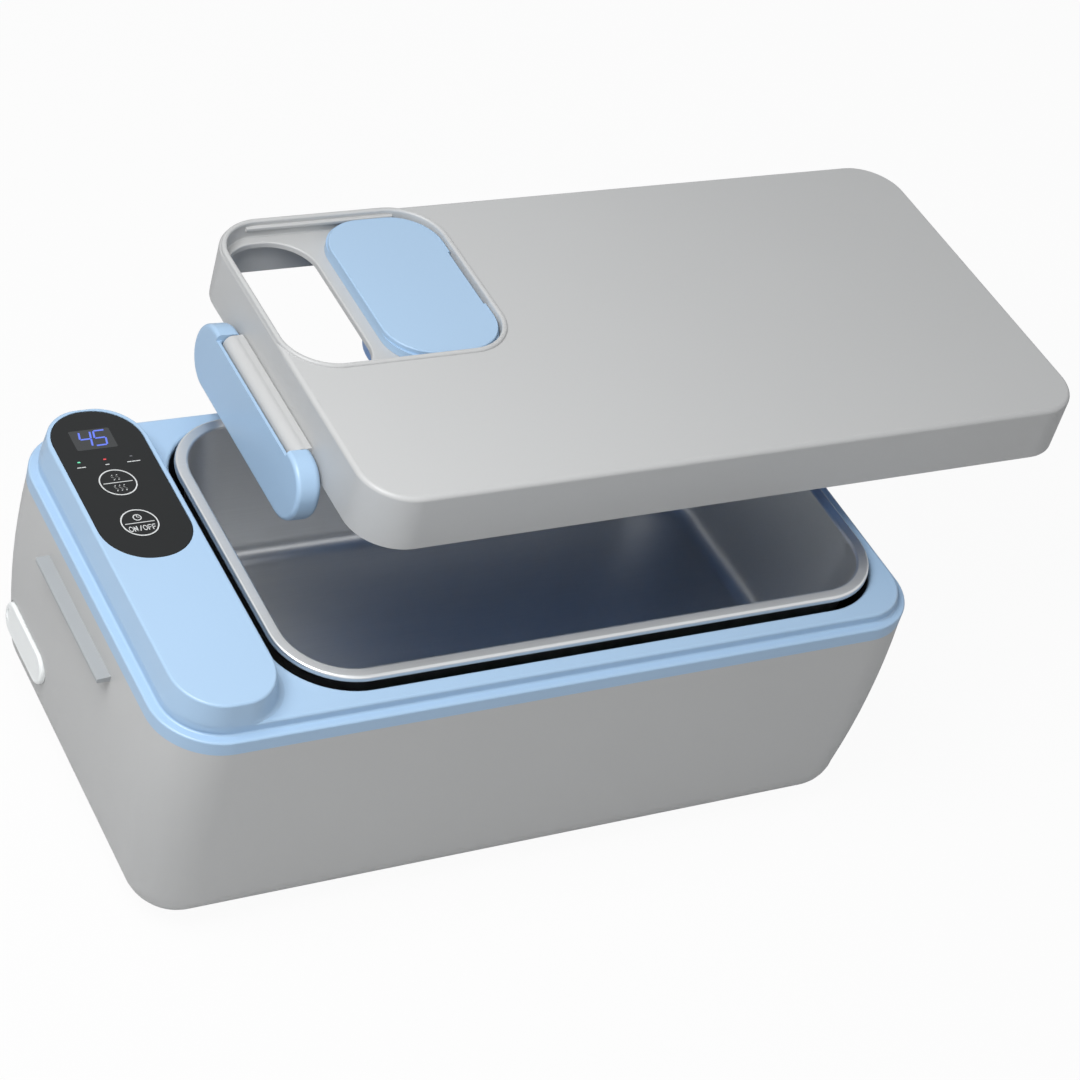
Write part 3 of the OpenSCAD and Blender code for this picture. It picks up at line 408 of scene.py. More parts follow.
def only(obj):
    """Makes obj the only selected and active object."""
    bpy.ops.object.select_all(action="DESELECT")
    obj.select_set(True)
    bpy.context.view_layer.objects.active = obj


def settle(obj):
    """Moves the object's place, turn and scale into its mesh."""
    only(obj)
    bpy.ops.object.transform_apply(location=True, rotation=True, scale=True)


def edit_select(obj, kind, test):
    """Opens obj for editing with the edges or faces that pass the test selected.
    An edge test gets its two ends, a face test its centre and normal."""
    only(obj)
    bpy.ops.object.mode_set(mode="EDIT")
    bpy.ops.mesh.select_mode(type=kind)
    bpy.ops.mesh.select_all(action="DESELECT")
    bpy.ops.object.mode_set(mode="OBJECT")
    if kind == "EDGE":
        for edge in obj.data.edges:
            edge.select = bool(test(*(obj.data.vertices[i].co for i in edge.vertices)))
    else:
        for face in obj.data.polygons:
            face.select = bool(test(face.center, face.normal))
    bpy.ops.object.mode_set(mode="EDIT")


def done():
    """Leaves edit mode."""
    bpy.ops.object.mode_set(mode="OBJECT")


def add_block(name, low, high):
    """Adds a box between two corners."""
    bpy.ops.object.select_all(action="DESELECT")
    bpy.ops.mesh.primitive_cube_add(size=1, location=[(a + b) / 2 for a, b in zip(low, high)])
    obj = bpy.context.object
    obj.name = name
    obj.scale = [b - a for a, b in zip(low, high)]
    settle(obj)
    return obj


def rounded_block(name, low, high, radius, axis=2, segments=14):
    """Adds a box whose four edges along one axis are rounded."""
    obj = add_block(name, low, high)
    edit_select(obj, "EDGE", lambda a, b: abs(a[axis] - b[axis]) > TINY)
    bpy.ops.mesh.bevel(offset=radius, segments=segments, affect="EDGES", clamp_overlap=False)
    done()
    return obj


def plan_block(name, centre, size, low_z, high_z, radius, segments=14):
    """Adds a rounded block from its plan centre, plan size and two heights."""
    (cx, cy), (length, width) = centre, size
    return rounded_block(name, (cx - length / 2, cy - width / 2, low_z),
                         (cx + length / 2, cy + width / 2, high_z), radius, 2, segments)


def open_cap(obj, z, facing):
    """Opens obj for editing with its level faces at height z selected."""
    edit_select(obj, "FACE", lambda c, n: n.z * facing > FACING and abs(c.z - z) < NEAR)


def step_cap(steps):
    """Steps the selected cap. Each step is how far inward, and how far out along its facing."""
    for inward, outward in steps:
        bpy.ops.mesh.inset(thickness=inward, depth=outward)


def over_edge(radius, count=5):
    """Steps round an outside edge, from an upright wall on to a level cap."""
    turns = [math.pi / 2 * i / count for i in range(count + 1)]
    return [(radius * (math.cos(a) - math.cos(b)), radius * (math.sin(b) - math.sin(a)))
            for a, b in zip(turns, turns[1:])]


def up_from_level(radius, count=4):
    """Steps round an inside corner, from a level ledge up into a wall."""
    return [(outward, inward) for inward, outward in over_edge(radius, count)]


def downward(steps):
    """The same steps, sinking instead of rising."""
    return [(inward, -outward) for inward, outward in steps]


def draw_cap(rise, scale_x=1.0, scale_y=1.0):
    """Extrudes the selected cap straight up or down, then draws it in."""
    bpy.ops.mesh.extrude_region_move(TRANSFORM_OT_translate={"value": (0, 0, rise)})
    bpy.ops.transform.resize(value=(scale_x, scale_y, 1))


def soften(obj, test, radius, segments=3):
    """Rounds the edges that pass the test."""
    edit_select(obj, "EDGE", test)
    bpy.ops.mesh.bevel(offset=radius, segments=segments, affect="EDGES", clamp_overlap=False)
    done()


def combine(obj, other, operation):
    """Adds other to obj, or cuts it out of obj. The other object is used up."""
    only(obj)
    bpy.ops.object.modifier_add(type="BOOLEAN")
    step = obj.modifiers[-1]
    step.operation = operation
    step.object = other
    step.solver = "EXACT"
    bpy.ops.object.modifier_apply(modifier=step.name)
    only(other)
    bpy.ops.object.delete()


def rod(name, centre, radius, length, axis, sides=48):
    """Adds a cylinder along x, y or z."""
    turn = {"x": (0, math.pi / 2, 0), "y": (math.pi / 2, 0, 0), "z": (0, 0, 0)}[axis]
    bpy.ops.object.select_all(action="DESELECT")
    bpy.ops.mesh.primitive_cylinder_add(vertices=sides, radius=radius, depth=length,
                                        location=centre, rotation=turn)
    obj = bpy.context.object
    obj.name = name
    settle(obj)
    return obj


def complete(obj, body, finish, nodes=(), lifted=False, angle=32):
    """Finishes a piece: normals, shading, finish, and the body that it rides on."""
    if lifted:
        obj.location = LIFT
    settle(obj)
    bpy.ops.object.mode_set(mode="EDIT")
    bpy.ops.mesh.select_all(action="SELECT")
    bpy.ops.mesh.normals_make_consistent(inside=False)
    done()
    bpy.ops.object.shade_smooth_by_angle(angle=math.radians(angle))
    bpy.ops.object.modifier_add(type="WEIGHTED_NORMAL")
    obj.modifiers[-1].keep_sharp = True
    bpy.ops.object.modifier_apply(modifier=obj.modifiers[-1].name)
    obj.data.materials.clear()
    obj.data.materials.append(finish)
    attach(obj, body)
    if nodes:
        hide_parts(*nodes)
    print(obj.name, "faces:", len(obj.data.polygons))


# %% [markdown]
# ## Lower housing
# A grey moulded tub. Its walls lean in towards the base so that it leaves its mould, with a
# slight belly on the way, and a wide rounding turns them into the base. A thin rounded slab is
# the start: its bottom cap is drawn down wall by wall, then its top cap is drawn down inside.

# %% Wall profile of the tub
END_DRAFT, SIDE_DRAFT, WALL = 6.2 * MM, 4.3 * MM, 2.4 * MM
END_SWELL, SIDE_SWELL, BASE_EDGE = 2.4 * MM, 1.2 * MM, 14.4 * MM
CORNER_LOSS = 5 * MM
WALL_STEPS = 8


def lean(z):
    """Share of the way down from the joint to the base."""
    return (JOINT_Z - z) / (JOINT_Z - FOOT_Z)


def end_x(z):
    """How far the end walls stand from the middle at a height."""
    return BODY_L / 2 - END_DRAFT * lean(z) + 4 * END_SWELL * lean(z) * (1 - lean(z))


def side_y(z):
    """How far the long walls stand from the middle at a height."""
    return BODY_W / 2 - SIDE_DRAFT * lean(z) + 4 * SIDE_SWELL * lean(z) * (1 - lean(z))


def draw_walls(inset, z0, z1, facing):
    """Draws the selected cap down from z0 to z1 along the walls, inset from their outside.
    Every step is inset a little first, which tightens the corners towards the base."""
    loss = CORNER_LOSS * (lean(z1) - lean(z0)) / WALL_STEPS
    for i in range(WALL_STEPS):
        a, b = (z0 + (z1 - z0) * k / WALL_STEPS for k in (i, i + 1))
        step_cap([(loss, (b - a) * facing)])
        bpy.ops.transform.resize(value=((end_x(b) - inset) / (end_x(a) - inset - loss),
                                        (side_y(b) - inset) / (side_y(a) - inset - loss), 1))


print("tub base half size", round(end_x(FOOT_Z), 4), round(side_y(FOOT_Z), 4))

# %% Tub
SLAB_Z = JOINT_Z - 1 * MM
FLOOR_Z = FOOT_Z + 2.8 * MM
tub = plan_block("tub", (0, 0), (BODY_L, BODY_W), SLAB_Z, JOINT_Z, CORNER, 16)
open_cap(tub, SLAB_Z, -1)
draw_walls(0, SLAB_Z, FOOT_Z + BASE_EDGE, -1)
step_cap(over_edge(BASE_EDGE, 10))
done()
open_cap(tub, JOINT_Z, 1)
step_cap([(WALL, 0)])
draw_walls(WALL, JOINT_Z, FLOOR_Z + BASE_EDGE - WALL, 1)
step_cap(downward(over_edge(BASE_EDGE - WALL, 8)))
done()

# %% [markdown]
# The latches hook under a thin sloped ledge on each end wall. The ledge is part of the same
# moulding, so it is joined to the tub. The inlet's cover sits in a shallow pill-shaped seat,
# and a thicker pad behind it takes the socket.

# %% Catch ledges and inlet
CATCH_TOP, CATCH_T, CATCH_Y, CATCH_L, CATCH_TIP = 74.3 * MM, 1.6 * MM, 1.5 * MM, 55.4 * MM, 139.7 * MM
for side in (-1, 1):
    inner, outer = side * (end_x(CATCH_TOP) - 1.5 * MM), side * CATCH_TIP
    ledge = add_block("ledge", (min(inner, outer), CATCH_Y - CATCH_L / 2, CATCH_TOP - CATCH_T),
                      (max(inner, outer), CATCH_Y + CATCH_L / 2, CATCH_TOP))
    edit_select(ledge, "EDGE", lambda a, b: min(a.z, b.z) > CATCH_TOP - TINY
                and min(abs(a.x), abs(b.x)) < abs(inner) + TINY and abs(a.x - b.x) < TINY)
    bpy.ops.transform.translate(value=(0, 0, 0.4 * MM))
    done()
    soften(ledge, lambda a, b: min(abs(a.x), abs(b.x)) > abs(outer) - TINY, 0.5 * MM, 4)
    combine(tub, ledge, "UNION")

PORT_Y, PORT_Z, PORT_X = 38.8 * MM, 27.2 * MM, -132.6 * MM
COVER_L, COVER_H, COVER_T = 33.5 * MM, 12 * MM, 1.9 * MM
JACK_Y = PORT_Y - 6 * MM
PILL_END = 0.3 * MM


def pill_x(name, length, height, x0, x1, segments=12):
    """Adds a pill on the inlet's centre, lying along y, from x0 to x1."""
    return rounded_block(name, (x0, PORT_Y - length / 2, PORT_Z - height / 2),
                         (x1, PORT_Y + length / 2, PORT_Z + height / 2),
                         height / 2 - PILL_END, 0, segments)


combine(tub, pill_x("pad", COVER_L, COVER_H + 5 * MM, PORT_X + 0.6 * MM, PORT_X + 6.5 * MM), "UNION")
combine(tub, pill_x("cover_seat", COVER_L + 1 * MM, COVER_H + 1 * MM, PORT_X - 3 * MM, PORT_X), "DIFFERENCE")
combine(tub, pill_x("keel_seat", COVER_L - 4 * MM, 4.4 * MM, PORT_X - MM, PORT_X + 1.4 * MM), "DIFFERENCE")
for name, radius, x0, x1 in (("flange_seat", 4 * MM, -1, 2.2), ("thread_bore", 3.1 * MM, -1, 11)):
    bore = rod(name, (PORT_X + (x0 + x1) / 2 * MM, JACK_Y, PORT_Z), radius, (x1 - x0) * MM, "x")
    combine(tub, bore, "DIFFERENCE")
POST_X, POST_Y = -107 * MM, 52 * MM
for y in (-POST_Y, POST_Y):
    combine(tub, rod("screw_seat", (POST_X, y, FOOT_Z), 3.4 * MM, 3.2 * MM, "z"), "DIFFERENCE")
    combine(tub, rod("screw_hole", (POST_X, y, FOOT_Z + 2 * MM), 1.7 * MM, 8 * MM, "z", 24), "DIFFERENCE")
complete(tub, "housing", grey_shell, ["lower_housing"])
# The catch ledge faces take the darker grey, painted shade under the frame.
tub.data.materials.append(ledge_painted_shade)
for face in tub.data.polygons:
    if abs(face.center.x) > end_x(CATCH_TOP) + 0.4 * MM and abs(face.center.z - CATCH_TOP) < 2 * MM:
        face.material_index = 1
print("ledge faces:", sum(face.material_index for face in tub.data.polygons))

# %% [markdown]
# ## Top frame
# One pale blue moulding: an upright rim, a ledge for the lid's skirt, a step up to the deck,
# and a rounded opening for the tray. The profile is stepped inward from the rim's cap.

# %% Frame
RIM_ROUND, DECK_ROUND = 0.7 * MM, 0.9 * MM
frame_part = plan_block("frame_part", (0, 0), (BODY_L, BODY_W), JOINT_Z, LEDGE_Z - RIM_ROUND, CORNER, 16)
open_cap(frame_part, LEDGE_Z - RIM_ROUND, 1)
step_cap(over_edge(RIM_ROUND))
step_cap([(LEDGE_W - 1.5 * MM, 0)])
step_cap(up_from_level(0.8 * MM))
step_cap([(TINY, STEP_H - 1.7 * MM)])
step_cap(over_edge(DECK_ROUND))
done()
open_cap(frame_part, JOINT_Z, -1)
step_cap([(WALL + 0.8 * MM, 0), (TINY, 4 * MM), (2.3 * MM, 0), (TINY, -10 * MM)])
done()

TRAY_GAP, EDGE_R = 1.3 * MM, 1.1 * MM
opening_size = (TRAY_L + 2 * (TRAY_GAP + EDGE_R), TRAY_W + 2 * (TRAY_GAP + EDGE_R))
opening = plan_block("opening", (TRAY_X, 0), opening_size,
                     DECK_Z, DECK_Z + 5 * MM, TRAY_R + TRAY_GAP + EDGE_R, 16)
open_cap(opening, DECK_Z, -1)
step_cap(up_from_level(EDGE_R, 5) + [(TINY, 16 * MM)])
done()
combine(frame_part, opening, "DIFFERENCE")

# %% [markdown]
# The control pod rises from the frame's left end. Its outer walls lean in very slightly as
# they rise, and its inner wall flares softly on to the deck. Each level is drawn from the cap
# below it.

# %% Control pod
POD_X0, POD_Y, POD_SUNK, POD_CORNER = -131.75 * MM, 68.65 * MM, 88.4 * MM, 17 * MM
POD_LEVELS = [(90.2, -92.9, 68.65), (90.5, -94.2, 68.62), (91.1, -95.1, 68.6), (92.2, -95.7, 68.5),
              (94.3, -96.1, 68.35), (98.1, -96.9, 68.1)]
pod_foot = POD_LEVELS[0]
pod = rounded_block("pod", (POD_X0, -POD_Y, POD_SUNK), (pod_foot[1] * MM, POD_Y, pod_foot[0] * MM),
                    POD_CORNER, 2, 16)
open_cap(pod, pod_foot[0] * MM, 1)
left = POD_X0
for (z0, x0, y0), (z1, x1, y1) in zip(POD_LEVELS, POD_LEVELS[1:]):
    new_left = POD_X0 + (z1 - pod_foot[0]) * 0.15 * MM
    draw_cap((z1 - z0) * MM, (x1 * MM - new_left) / (x0 * MM - left), y1 / y0)
    shift = (x1 * MM + new_left) / 2 - (x0 * MM + left) / 2
    bpy.ops.transform.translate(value=(shift, 0, 0))
    left = new_left
step_cap(over_edge(0.9 * MM, 6))
done()
GLASS_X, GLASS_Y, GLASS_L, GLASS_W, GLASS_T = -114 * MM, 31.8 * MM, 69.8 * MM, 30.2 * MM, 1.5 * MM
seat_gap = 0.12 * MM
seat = plan_block("seat", (GLASS_X, GLASS_Y), (GLASS_W + 2 * seat_gap, GLASS_L + 2 * seat_gap),
                  POD_Z - GLASS_T, POD_Z + 5 * MM, GLASS_W / 2 - 0.4 * MM, 20)
combine(pod, seat, "DIFFERENCE")
hollow = plan_block("hollow", ((POD_X0 - 96 * MM) / 2, 0), (-96 * MM - POD_X0 - 6 * MM, 2 * POD_Y - 6 * MM),
                    88 * MM, POD_Z - WALL, 13 * MM)
window = plan_block("window", (GLASS_X, GLASS_Y), (20 * MM, 56 * MM), 88 * MM, POD_Z, 3 * MM)
combine(pod, hollow, "DIFFERENCE")
combine(pod, window, "DIFFERENCE")
deck_hole = plan_block("deck_hole", ((POD_X0 - 96 * MM) / 2, 0),
                       (-96 * MM - POD_X0 - 6 * MM, 2 * POD_Y - 8 * MM), 87 * MM, 95 * MM, 12 * MM)
combine(frame_part, deck_hole, "DIFFERENCE")
only(pod)
frame_part.select_set(True)
bpy.context.view_layer.objects.active = frame_part
bpy.ops.object.join()
complete(frame_part, "housing", blue_shell, ["top_frame"])

# %% [markdown]
# ## Control glass
# A dark, slightly frosted panel set flush in the pod. Its digits, lamps and keys show through
# it, so they are thin layers just over its face.

# %% Glass
glass = plan_block("glass", (GLASS_X, GLASS_Y), (GLASS_W, GLASS_L), POD_Z - GLASS_T + 0.02 * MM,
                   POD_Z - 0.25 * MM, GLASS_W / 2 - 0.5 * MM, 20)
open_cap(glass, POD_Z - 0.25 * MM, 1)
step_cap(over_edge(0.2 * MM, 3))
done()
complete(glass, "housing", control_glass, ["touch_glass"])

# %% [markdown]
# The marks on the panel are screen printed, and the display's segments, the lamps and the
# display's window shine through the glass. All are thin flat strokes on the glass, in
# millimetres. The keys carry plain signs: warmth waves, a clock and ON/OFF.

# %% Stroke and ring helpers
MARK_Z, MARK_T = POD_Z, 0.06 * MM
LINE_W = 0.32


def stroke(a, b, width=LINE_W):
    """Adds one flat stroke with square ends between two points of the panel."""
    (ax, ay), (bx, by) = a, b
    bpy.ops.object.select_all(action="DESELECT")
    bpy.ops.mesh.primitive_cube_add(size=1, location=((ax + bx) / 2 * MM, (ay + by) / 2 * MM, MARK_Z),
                                    rotation=(0, 0, math.atan2(by - ay, bx - ax)))
    obj = bpy.context.object
    obj.scale = ((math.hypot(bx - ax, by - ay) + width) * MM, width * MM, MARK_T)
    settle(obj)
    return obj


def line_of(points, width=LINE_W):
    """Adds strokes from point to point."""
    return [stroke(a, b, width) for a, b in zip(points, points[1:])]


def ring(x, y, radius, width=LINE_W, squeeze=1.0):
    """Adds a flat ring, or an oval one when squeezed along x."""
    outer = rod("ring", (0, 0, MARK_Z), (radius + width / 2) * MM, MARK_T, "z", 64)
    inner = rod("ring_hole", (0, 0, MARK_Z), (radius - width / 2) * MM, 3 * MARK_T, "z", 64)
    combine(outer, inner, "DIFFERENCE")
    outer.scale = (squeeze, 1, 1)
    outer.location = (x * MM, y * MM, 0)
    settle(outer)
    return outer


def wave(x, y, height, swing=0.35):
    """Adds one upright warmth wave."""
    rises = [i / 8 for i in range(9)]
    return line_of([(x + swing * math.sin(2 * math.pi * t), y + height * (t - 0.5)) for t in rises])


def join_marks(name, marks, finish):
    """Joins strokes into one piece on the housing."""
    bpy.ops.object.select_all(action="DESELECT")
    for mark in marks:
        mark.select_set(True)
    bpy.context.view_layer.objects.active = marks[0]
    bpy.ops.object.join()
    marks[0].name = name
    complete(marks[0], "housing", finish)


print("marks at", round(MARK_Z, 5))

# %% Key and lamp prints
KEY_X, KEY_R, WARM_Y, POWER_Y = -114.9, 5.85, 32.1, 13.0
LAMP_X, LAMP_Y, SIGN_Y = (-123.8, -115.2, -106.4), 43.3, 40.8
prints = []
for key_y in (WARM_Y, POWER_Y):
    prints.append(ring(KEY_X, key_y, KEY_R, 0.42))
    prints.append(stroke((KEY_X - 4.7, key_y), (KEY_X + 4.7, key_y), 0.28))
prints += [part for x in (-1, 0, 1) for part in wave(KEY_X + x * 1.5, WARM_Y - 2.6, 2.4)]
prints += [part for x in (-0.8, 0.8) for part in wave(KEY_X + x, WARM_Y + 2.4, 2.2)]
clock_y = POWER_Y + 2.4
prints.append(ring(KEY_X, clock_y, 1.25))
prints += line_of([(KEY_X, clock_y + 0.8), (KEY_X, clock_y), (KEY_X + 0.6, clock_y)], 0.26)
word_y, letter_h, letter_w = POWER_Y - 3.5, 2.0, 0.95
letters = [KEY_X - 4.2 + i * 1.5 for i in range(6)]
low, high, middle = word_y, word_y + letter_h, word_y + letter_h / 2
for x in (letters[0], letters[3] + 0.1):
    prints.append(ring(x + letter_w / 2, middle, letter_h / 2, LINE_W, 0.62))
prints += line_of([(letters[1], low), (letters[1], high),
                   (letters[1] + letter_w, low), (letters[1] + letter_w, high)])
prints += line_of([(letters[2] + 0.3, low), (letters[2] + letter_w, high)], 0.28)
for x in (letters[4] + 0.1, letters[5]):
    prints += line_of([(x, low), (x, high), (x + letter_w, high)])
    prints += line_of([(x, middle), (x + letter_w * 0.8, middle)])
for count, lamp_x in zip((2, 1, 3), LAMP_X):
    for i in range(count):
        shift = (i - (count - 1) / 2) * 1.5
        prints += line_of([(lamp_x - 0.5 + shift, SIGN_Y), (lamp_x + 0.5 + shift, SIGN_Y)], 0.34)
join_marks("panel_print", prints, print_white)

# %% Lamps and display
LAMPS = (("warm_lamp", lamp_green), ("charge_lamp", lamp_red), ("spare_lamp", lamp_off))
for lamp_x, (name, finish) in zip(LAMP_X, LAMPS):
    join_marks(name, [stroke((lamp_x - 0.2, LAMP_Y), (lamp_x + 0.2, LAMP_Y), 0.5)], finish)
DIGIT_W, DIGIT_H, SLANT, DIGIT_Y, BAR_W = 3.7, 6.9, 0.2, 50.1, 0.62
SEGMENTS = {"top": ((0, 1), (1, 1)), "middle": ((0, 0.5), (1, 0.5)), "low": ((0, 0), (1, 0)),
            "high_left": ((0, 1), (0, 0.5)), "high_right": ((1, 1), (1, 0.5)),
            "low_left": ((0, 0.5), (0, 0)), "low_right": ((1, 0.5), (1, 0))}
DIGITS = {4: ("high_left", "middle", "high_right", "low_right"),
          5: ("top", "high_left", "middle", "low_right", "low")}
GAP = 0.07


def digit_point(x, share):
    """A point of a slanted digit cell, from its share of the cell's width and height."""
    u, v = share
    return (x + u * DIGIT_W + v * DIGIT_H * SLANT, DIGIT_Y + v * DIGIT_H)


bars = []
for number, x in ((4, -120.4), (5, -115.5)):
    for (u0, v0), (u1, v1) in (SEGMENTS[name] for name in DIGITS[number]):
        du, dv = (u1 - u0) * GAP * DIGIT_H / DIGIT_W, (v1 - v0) * 2 * GAP
        bars.append(stroke(digit_point(x, (u0 + du, v0 + dv)), digit_point(x, (u1 - du, v1 - dv)), BAR_W))
join_marks("display_digits", bars, digit_blue)
display_window = plan_block("display_window", (-115.5 * MM, 53.2 * MM), (13.6 * MM, 9.4 * MM),
                            MARK_Z - MARK_T, MARK_Z - 0.01 * MM, 0.6 * MM, 4)
complete(display_window, "housing", window_glass)

# %% [markdown]
# ## Food tray
# Pressed stainless steel: a deep dish with a flat flange whose edge is turned down. The cap
# steps follow one side of the sheet from the turned edge to the floor, and the underside is
# stepped the same way, one sheet thickness away.

# %% Tray
STEEL, FLANGE, ROLL, TAPER = 0.8 * MM, 4.5 * MM, 1.9 * MM, 4.6 * MM
tray = plan_block("tray", (TRAY_X, 0), (TRAY_L, TRAY_W), TRAY_TOP - ROLL, TRAY_TOP - 0.9 * MM, TRAY_R, 18)
mouth_l, mouth_w = TRAY_L - 2 * FLANGE, TRAY_W - 2 * FLANGE
open_cap(tray, TRAY_TOP - 0.9 * MM, 1)
step_cap(over_edge(0.9 * MM) + [(FLANGE - 1.9 * MM, 0)] + downward(up_from_level(1.0 * MM, 5)))
BEND = 6 * MM
drop = TRAY_TOP - TRAY_FLOOR - 1.0 * MM - BEND
draw_cap(-drop, 1 - 2 * TAPER / mouth_l, 1 - 2 * TAPER / mouth_w)
step_cap(downward(over_edge(BEND, 7)))
done()
open_cap(tray, TRAY_TOP - ROLL, -1)
step_cap([(STEEL, 0), (TINY, -(ROLL - STEEL)), (FLANGE - 2 * STEEL, 0)])
draw_cap(-(drop + 1.0 * MM - STEEL), 1 - 2 * TAPER / (mouth_l + 2 * STEEL),
         1 - 2 * TAPER / (mouth_w + 2 * STEEL))
step_cap(over_edge(BEND + STEEL, 7))
done()
complete(tray, "tray", tray_steel, ["food_tray"])

# %% [markdown]
# ## Lid
# A shallow grey cap with a rounded top edge, hollow below. The window pocket is sunk through
# it at the left end, inside a low rounded lip.

# %% Lid cap
SKIRT, LID_EDGE = 2.1 * MM, 1.6 * MM
lid = plan_block("lid", (0, 0), (LID_L, LID_W), LID_Z, LID_TOP - LID_EDGE, LID_R, 18)
open_cap(lid, LID_TOP - LID_EDGE, 1)
step_cap(over_edge(LID_EDGE, 6))
done()
open_cap(lid, LID_Z, -1)
step_cap([(SKIRT, 0), (TINY, -(LID_H - 2.4 * MM))])
done()

# %% Window pocket
POCKET_X, POCKET_Y, POCKET_L, POCKET_W, POCKET_R = -94.6 * MM, 31.4 * MM, 78 * MM, 74.6 * MM, 16 * MM
LIP_W, LIP_H, BEAD = 1.8 * MM, 0.9 * MM, 0.8 * MM
LIP_R = POCKET_R + LIP_W
POCKET_FLOOR = LID_TOP - 5.6 * MM
pocket = plan_block("pocket", (POCKET_X, POCKET_Y), (POCKET_L + 2 * LIP_W, POCKET_W + 2 * LIP_W),
                    POCKET_FLOOR - 2 * MM, LID_TOP + LIP_H - BEAD, LIP_R, 18)
open_cap(pocket, LID_TOP + LIP_H - BEAD, 1)
step_cap(over_edge(BEAD, 6))
done()
combine(lid, pocket, "UNION")
sunk = plan_block("sunk", (POCKET_X, POCKET_Y), (POCKET_L + 2 * BEAD, POCKET_W + 2 * BEAD),
                  LID_TOP + LIP_H, LID_TOP + LIP_H + 4 * MM, POCKET_R + BEAD, 18)
open_cap(sunk, LID_TOP + LIP_H, -1)
step_cap(up_from_level(BEAD, 6) + [(TINY, LID_TOP + LIP_H - BEAD - POCKET_FLOOR - 0.6 * MM)])
step_cap(over_edge(0.6 * MM, 4))
done()
combine(lid, sunk, "DIFFERENCE")

HOLE_L, HOLE_W, HOLE_R = 31.2 * MM, 70.6 * MM, 14.5 * MM
HOLE_X = POCKET_X - (POCKET_L - HOLE_L) / 2 + 0.6 * MM
HOLE_Y = POCKET_Y - (POCKET_W - HOLE_W) / 2 + 0.6 * MM
hole = plan_block("hole", (HOLE_X, HOLE_Y), (HOLE_L + 1.2 * MM, HOLE_W + 1.2 * MM), POCKET_FLOOR,
                  POCKET_FLOOR + 5 * MM, HOLE_R + 0.6 * MM, 18)
open_cap(hole, POCKET_FLOOR, -1)
step_cap(up_from_level(0.6 * MM, 4) + [(TINY, 6 * MM)])
done()
combine(lid, hole, "DIFFERENCE")

# %% [markdown]
# Two small bars on the long walls of the pocket keep the shutter down. The edges of their
# inner faces are rounded.

# %% Shutter rails
SHUT_TOP, RAIL_W, RAIL_H = LID_TOP - 1 * MM, 1.2 * MM, 1.6 * MM
rail_l = POCKET_L - 2 * POCKET_R + 8 * MM
for side in (-1, 1):
    wall_y = POCKET_Y + side * POCKET_W / 2
    face_y = wall_y - side * RAIL_W
    rooted_y = wall_y + side * 0.3 * MM
    rail = add_block("rail", (POCKET_X - rail_l / 2, min(rooted_y, face_y), SHUT_TOP - RAIL_H),
                     (POCKET_X + rail_l / 2, max(rooted_y, face_y), SHUT_TOP))
    soften(rail, lambda a, b: abs(a.y - face_y) < TINY and abs(b.y - face_y) < TINY, 0.5 * MM, 4)
    combine(lid, rail, "UNION")

# %% [markdown]
# A round barrel stands off each end of the lid on a flat web. A steel pin runs through it and
# carries the latch lever.

# %% Latch barrels
BARREL_R, BARREL_L, PIN_R, LATCH_Y = 3.4 * MM, 57.2 * MM, 1.25 * MM, 0.9 * MM
BARREL_X, BARREL_Z = LID_L / 2 + 3.7 * MM, LID_Z + 3.6 * MM
for side in (-1, 1):
    barrel = rod("barrel", (side * BARREL_X, LATCH_Y, BARREL_Z), BARREL_R, BARREL_L, "y", 64)
    soften(barrel, lambda a, b: abs(a.y - b.y) < TINY, 0.3 * MM, 2)
    inner, outer = side * (LID_L / 2 - 1 * MM), side * BARREL_X
    web = add_block("web", (min(inner, outer), LATCH_Y - BARREL_L / 2 + 0.02 * MM, BARREL_Z - 2.6 * MM),
                    (max(inner, outer), LATCH_Y + BARREL_L / 2 - 0.02 * MM, BARREL_Z + 3.2 * MM))
    combine(barrel, web, "UNION")
    combine(lid, barrel, "UNION")
    edge_x = sorted((side * (LID_L / 2 + 0.02 * MM), side * (LID_L / 2 + 0.4 * MM)))
    line = add_block("line", (edge_x[0], LATCH_Y - BARREL_L / 2 - 1 * MM, BARREL_Z + 2.5 * MM),
                     (edge_x[1], LATCH_Y + BARREL_L / 2 + 1 * MM, BARREL_Z + 4 * MM))
    combine(lid, line, "DIFFERENCE")
    bore = rod("bore", (side * BARREL_X, LATCH_Y, BARREL_Z), PIN_R + 0.05 * MM, BARREL_L + 10 * MM, "y", 24)
    combine(lid, bore, "DIFFERENCE")
complete(lid, "lid", grey_shell, ["lid_shell"], lifted=True)

# %% [markdown]
# ## Window shutter
# A pale blue plate that slides over the window. It is narrower above the rails than below
# them, and a small notch in its right edge gives a fingertip its grip.

# %% Shutter
SHUT_L, SHUT_R = 41.4 * MM, 15.6 * MM
SHUT_X = POCKET_X + (POCKET_L - SHUT_L) / 2 - 0.3 * MM
plate_w, tongue_w = POCKET_W - 2 * RAIL_W - 0.6 * MM, POCKET_W - 0.6 * MM
shutter = plan_block("shutter", (SHUT_X, POCKET_Y), (SHUT_L, plate_w), POCKET_FLOOR + 0.1 * MM,
                     SHUT_TOP - 0.5 * MM, SHUT_R, 18)
open_cap(shutter, SHUT_TOP - 0.5 * MM, 1)
step_cap(over_edge(0.5 * MM, 5))
done()
tongue = plan_block("tongue", (SHUT_X, POCKET_Y), (SHUT_L - 0.02 * MM, tongue_w), POCKET_FLOOR + 0.1 * MM,
                    SHUT_TOP - RAIL_H - 0.2 * MM, SHUT_R, 18)
combine(shutter, tongue, "UNION")
GRIP_W, GRIP_L, GRIP_H = 1.1 * MM, 28.4 * MM, 2.2 * MM
grip_x = SHUT_X + SHUT_L / 2
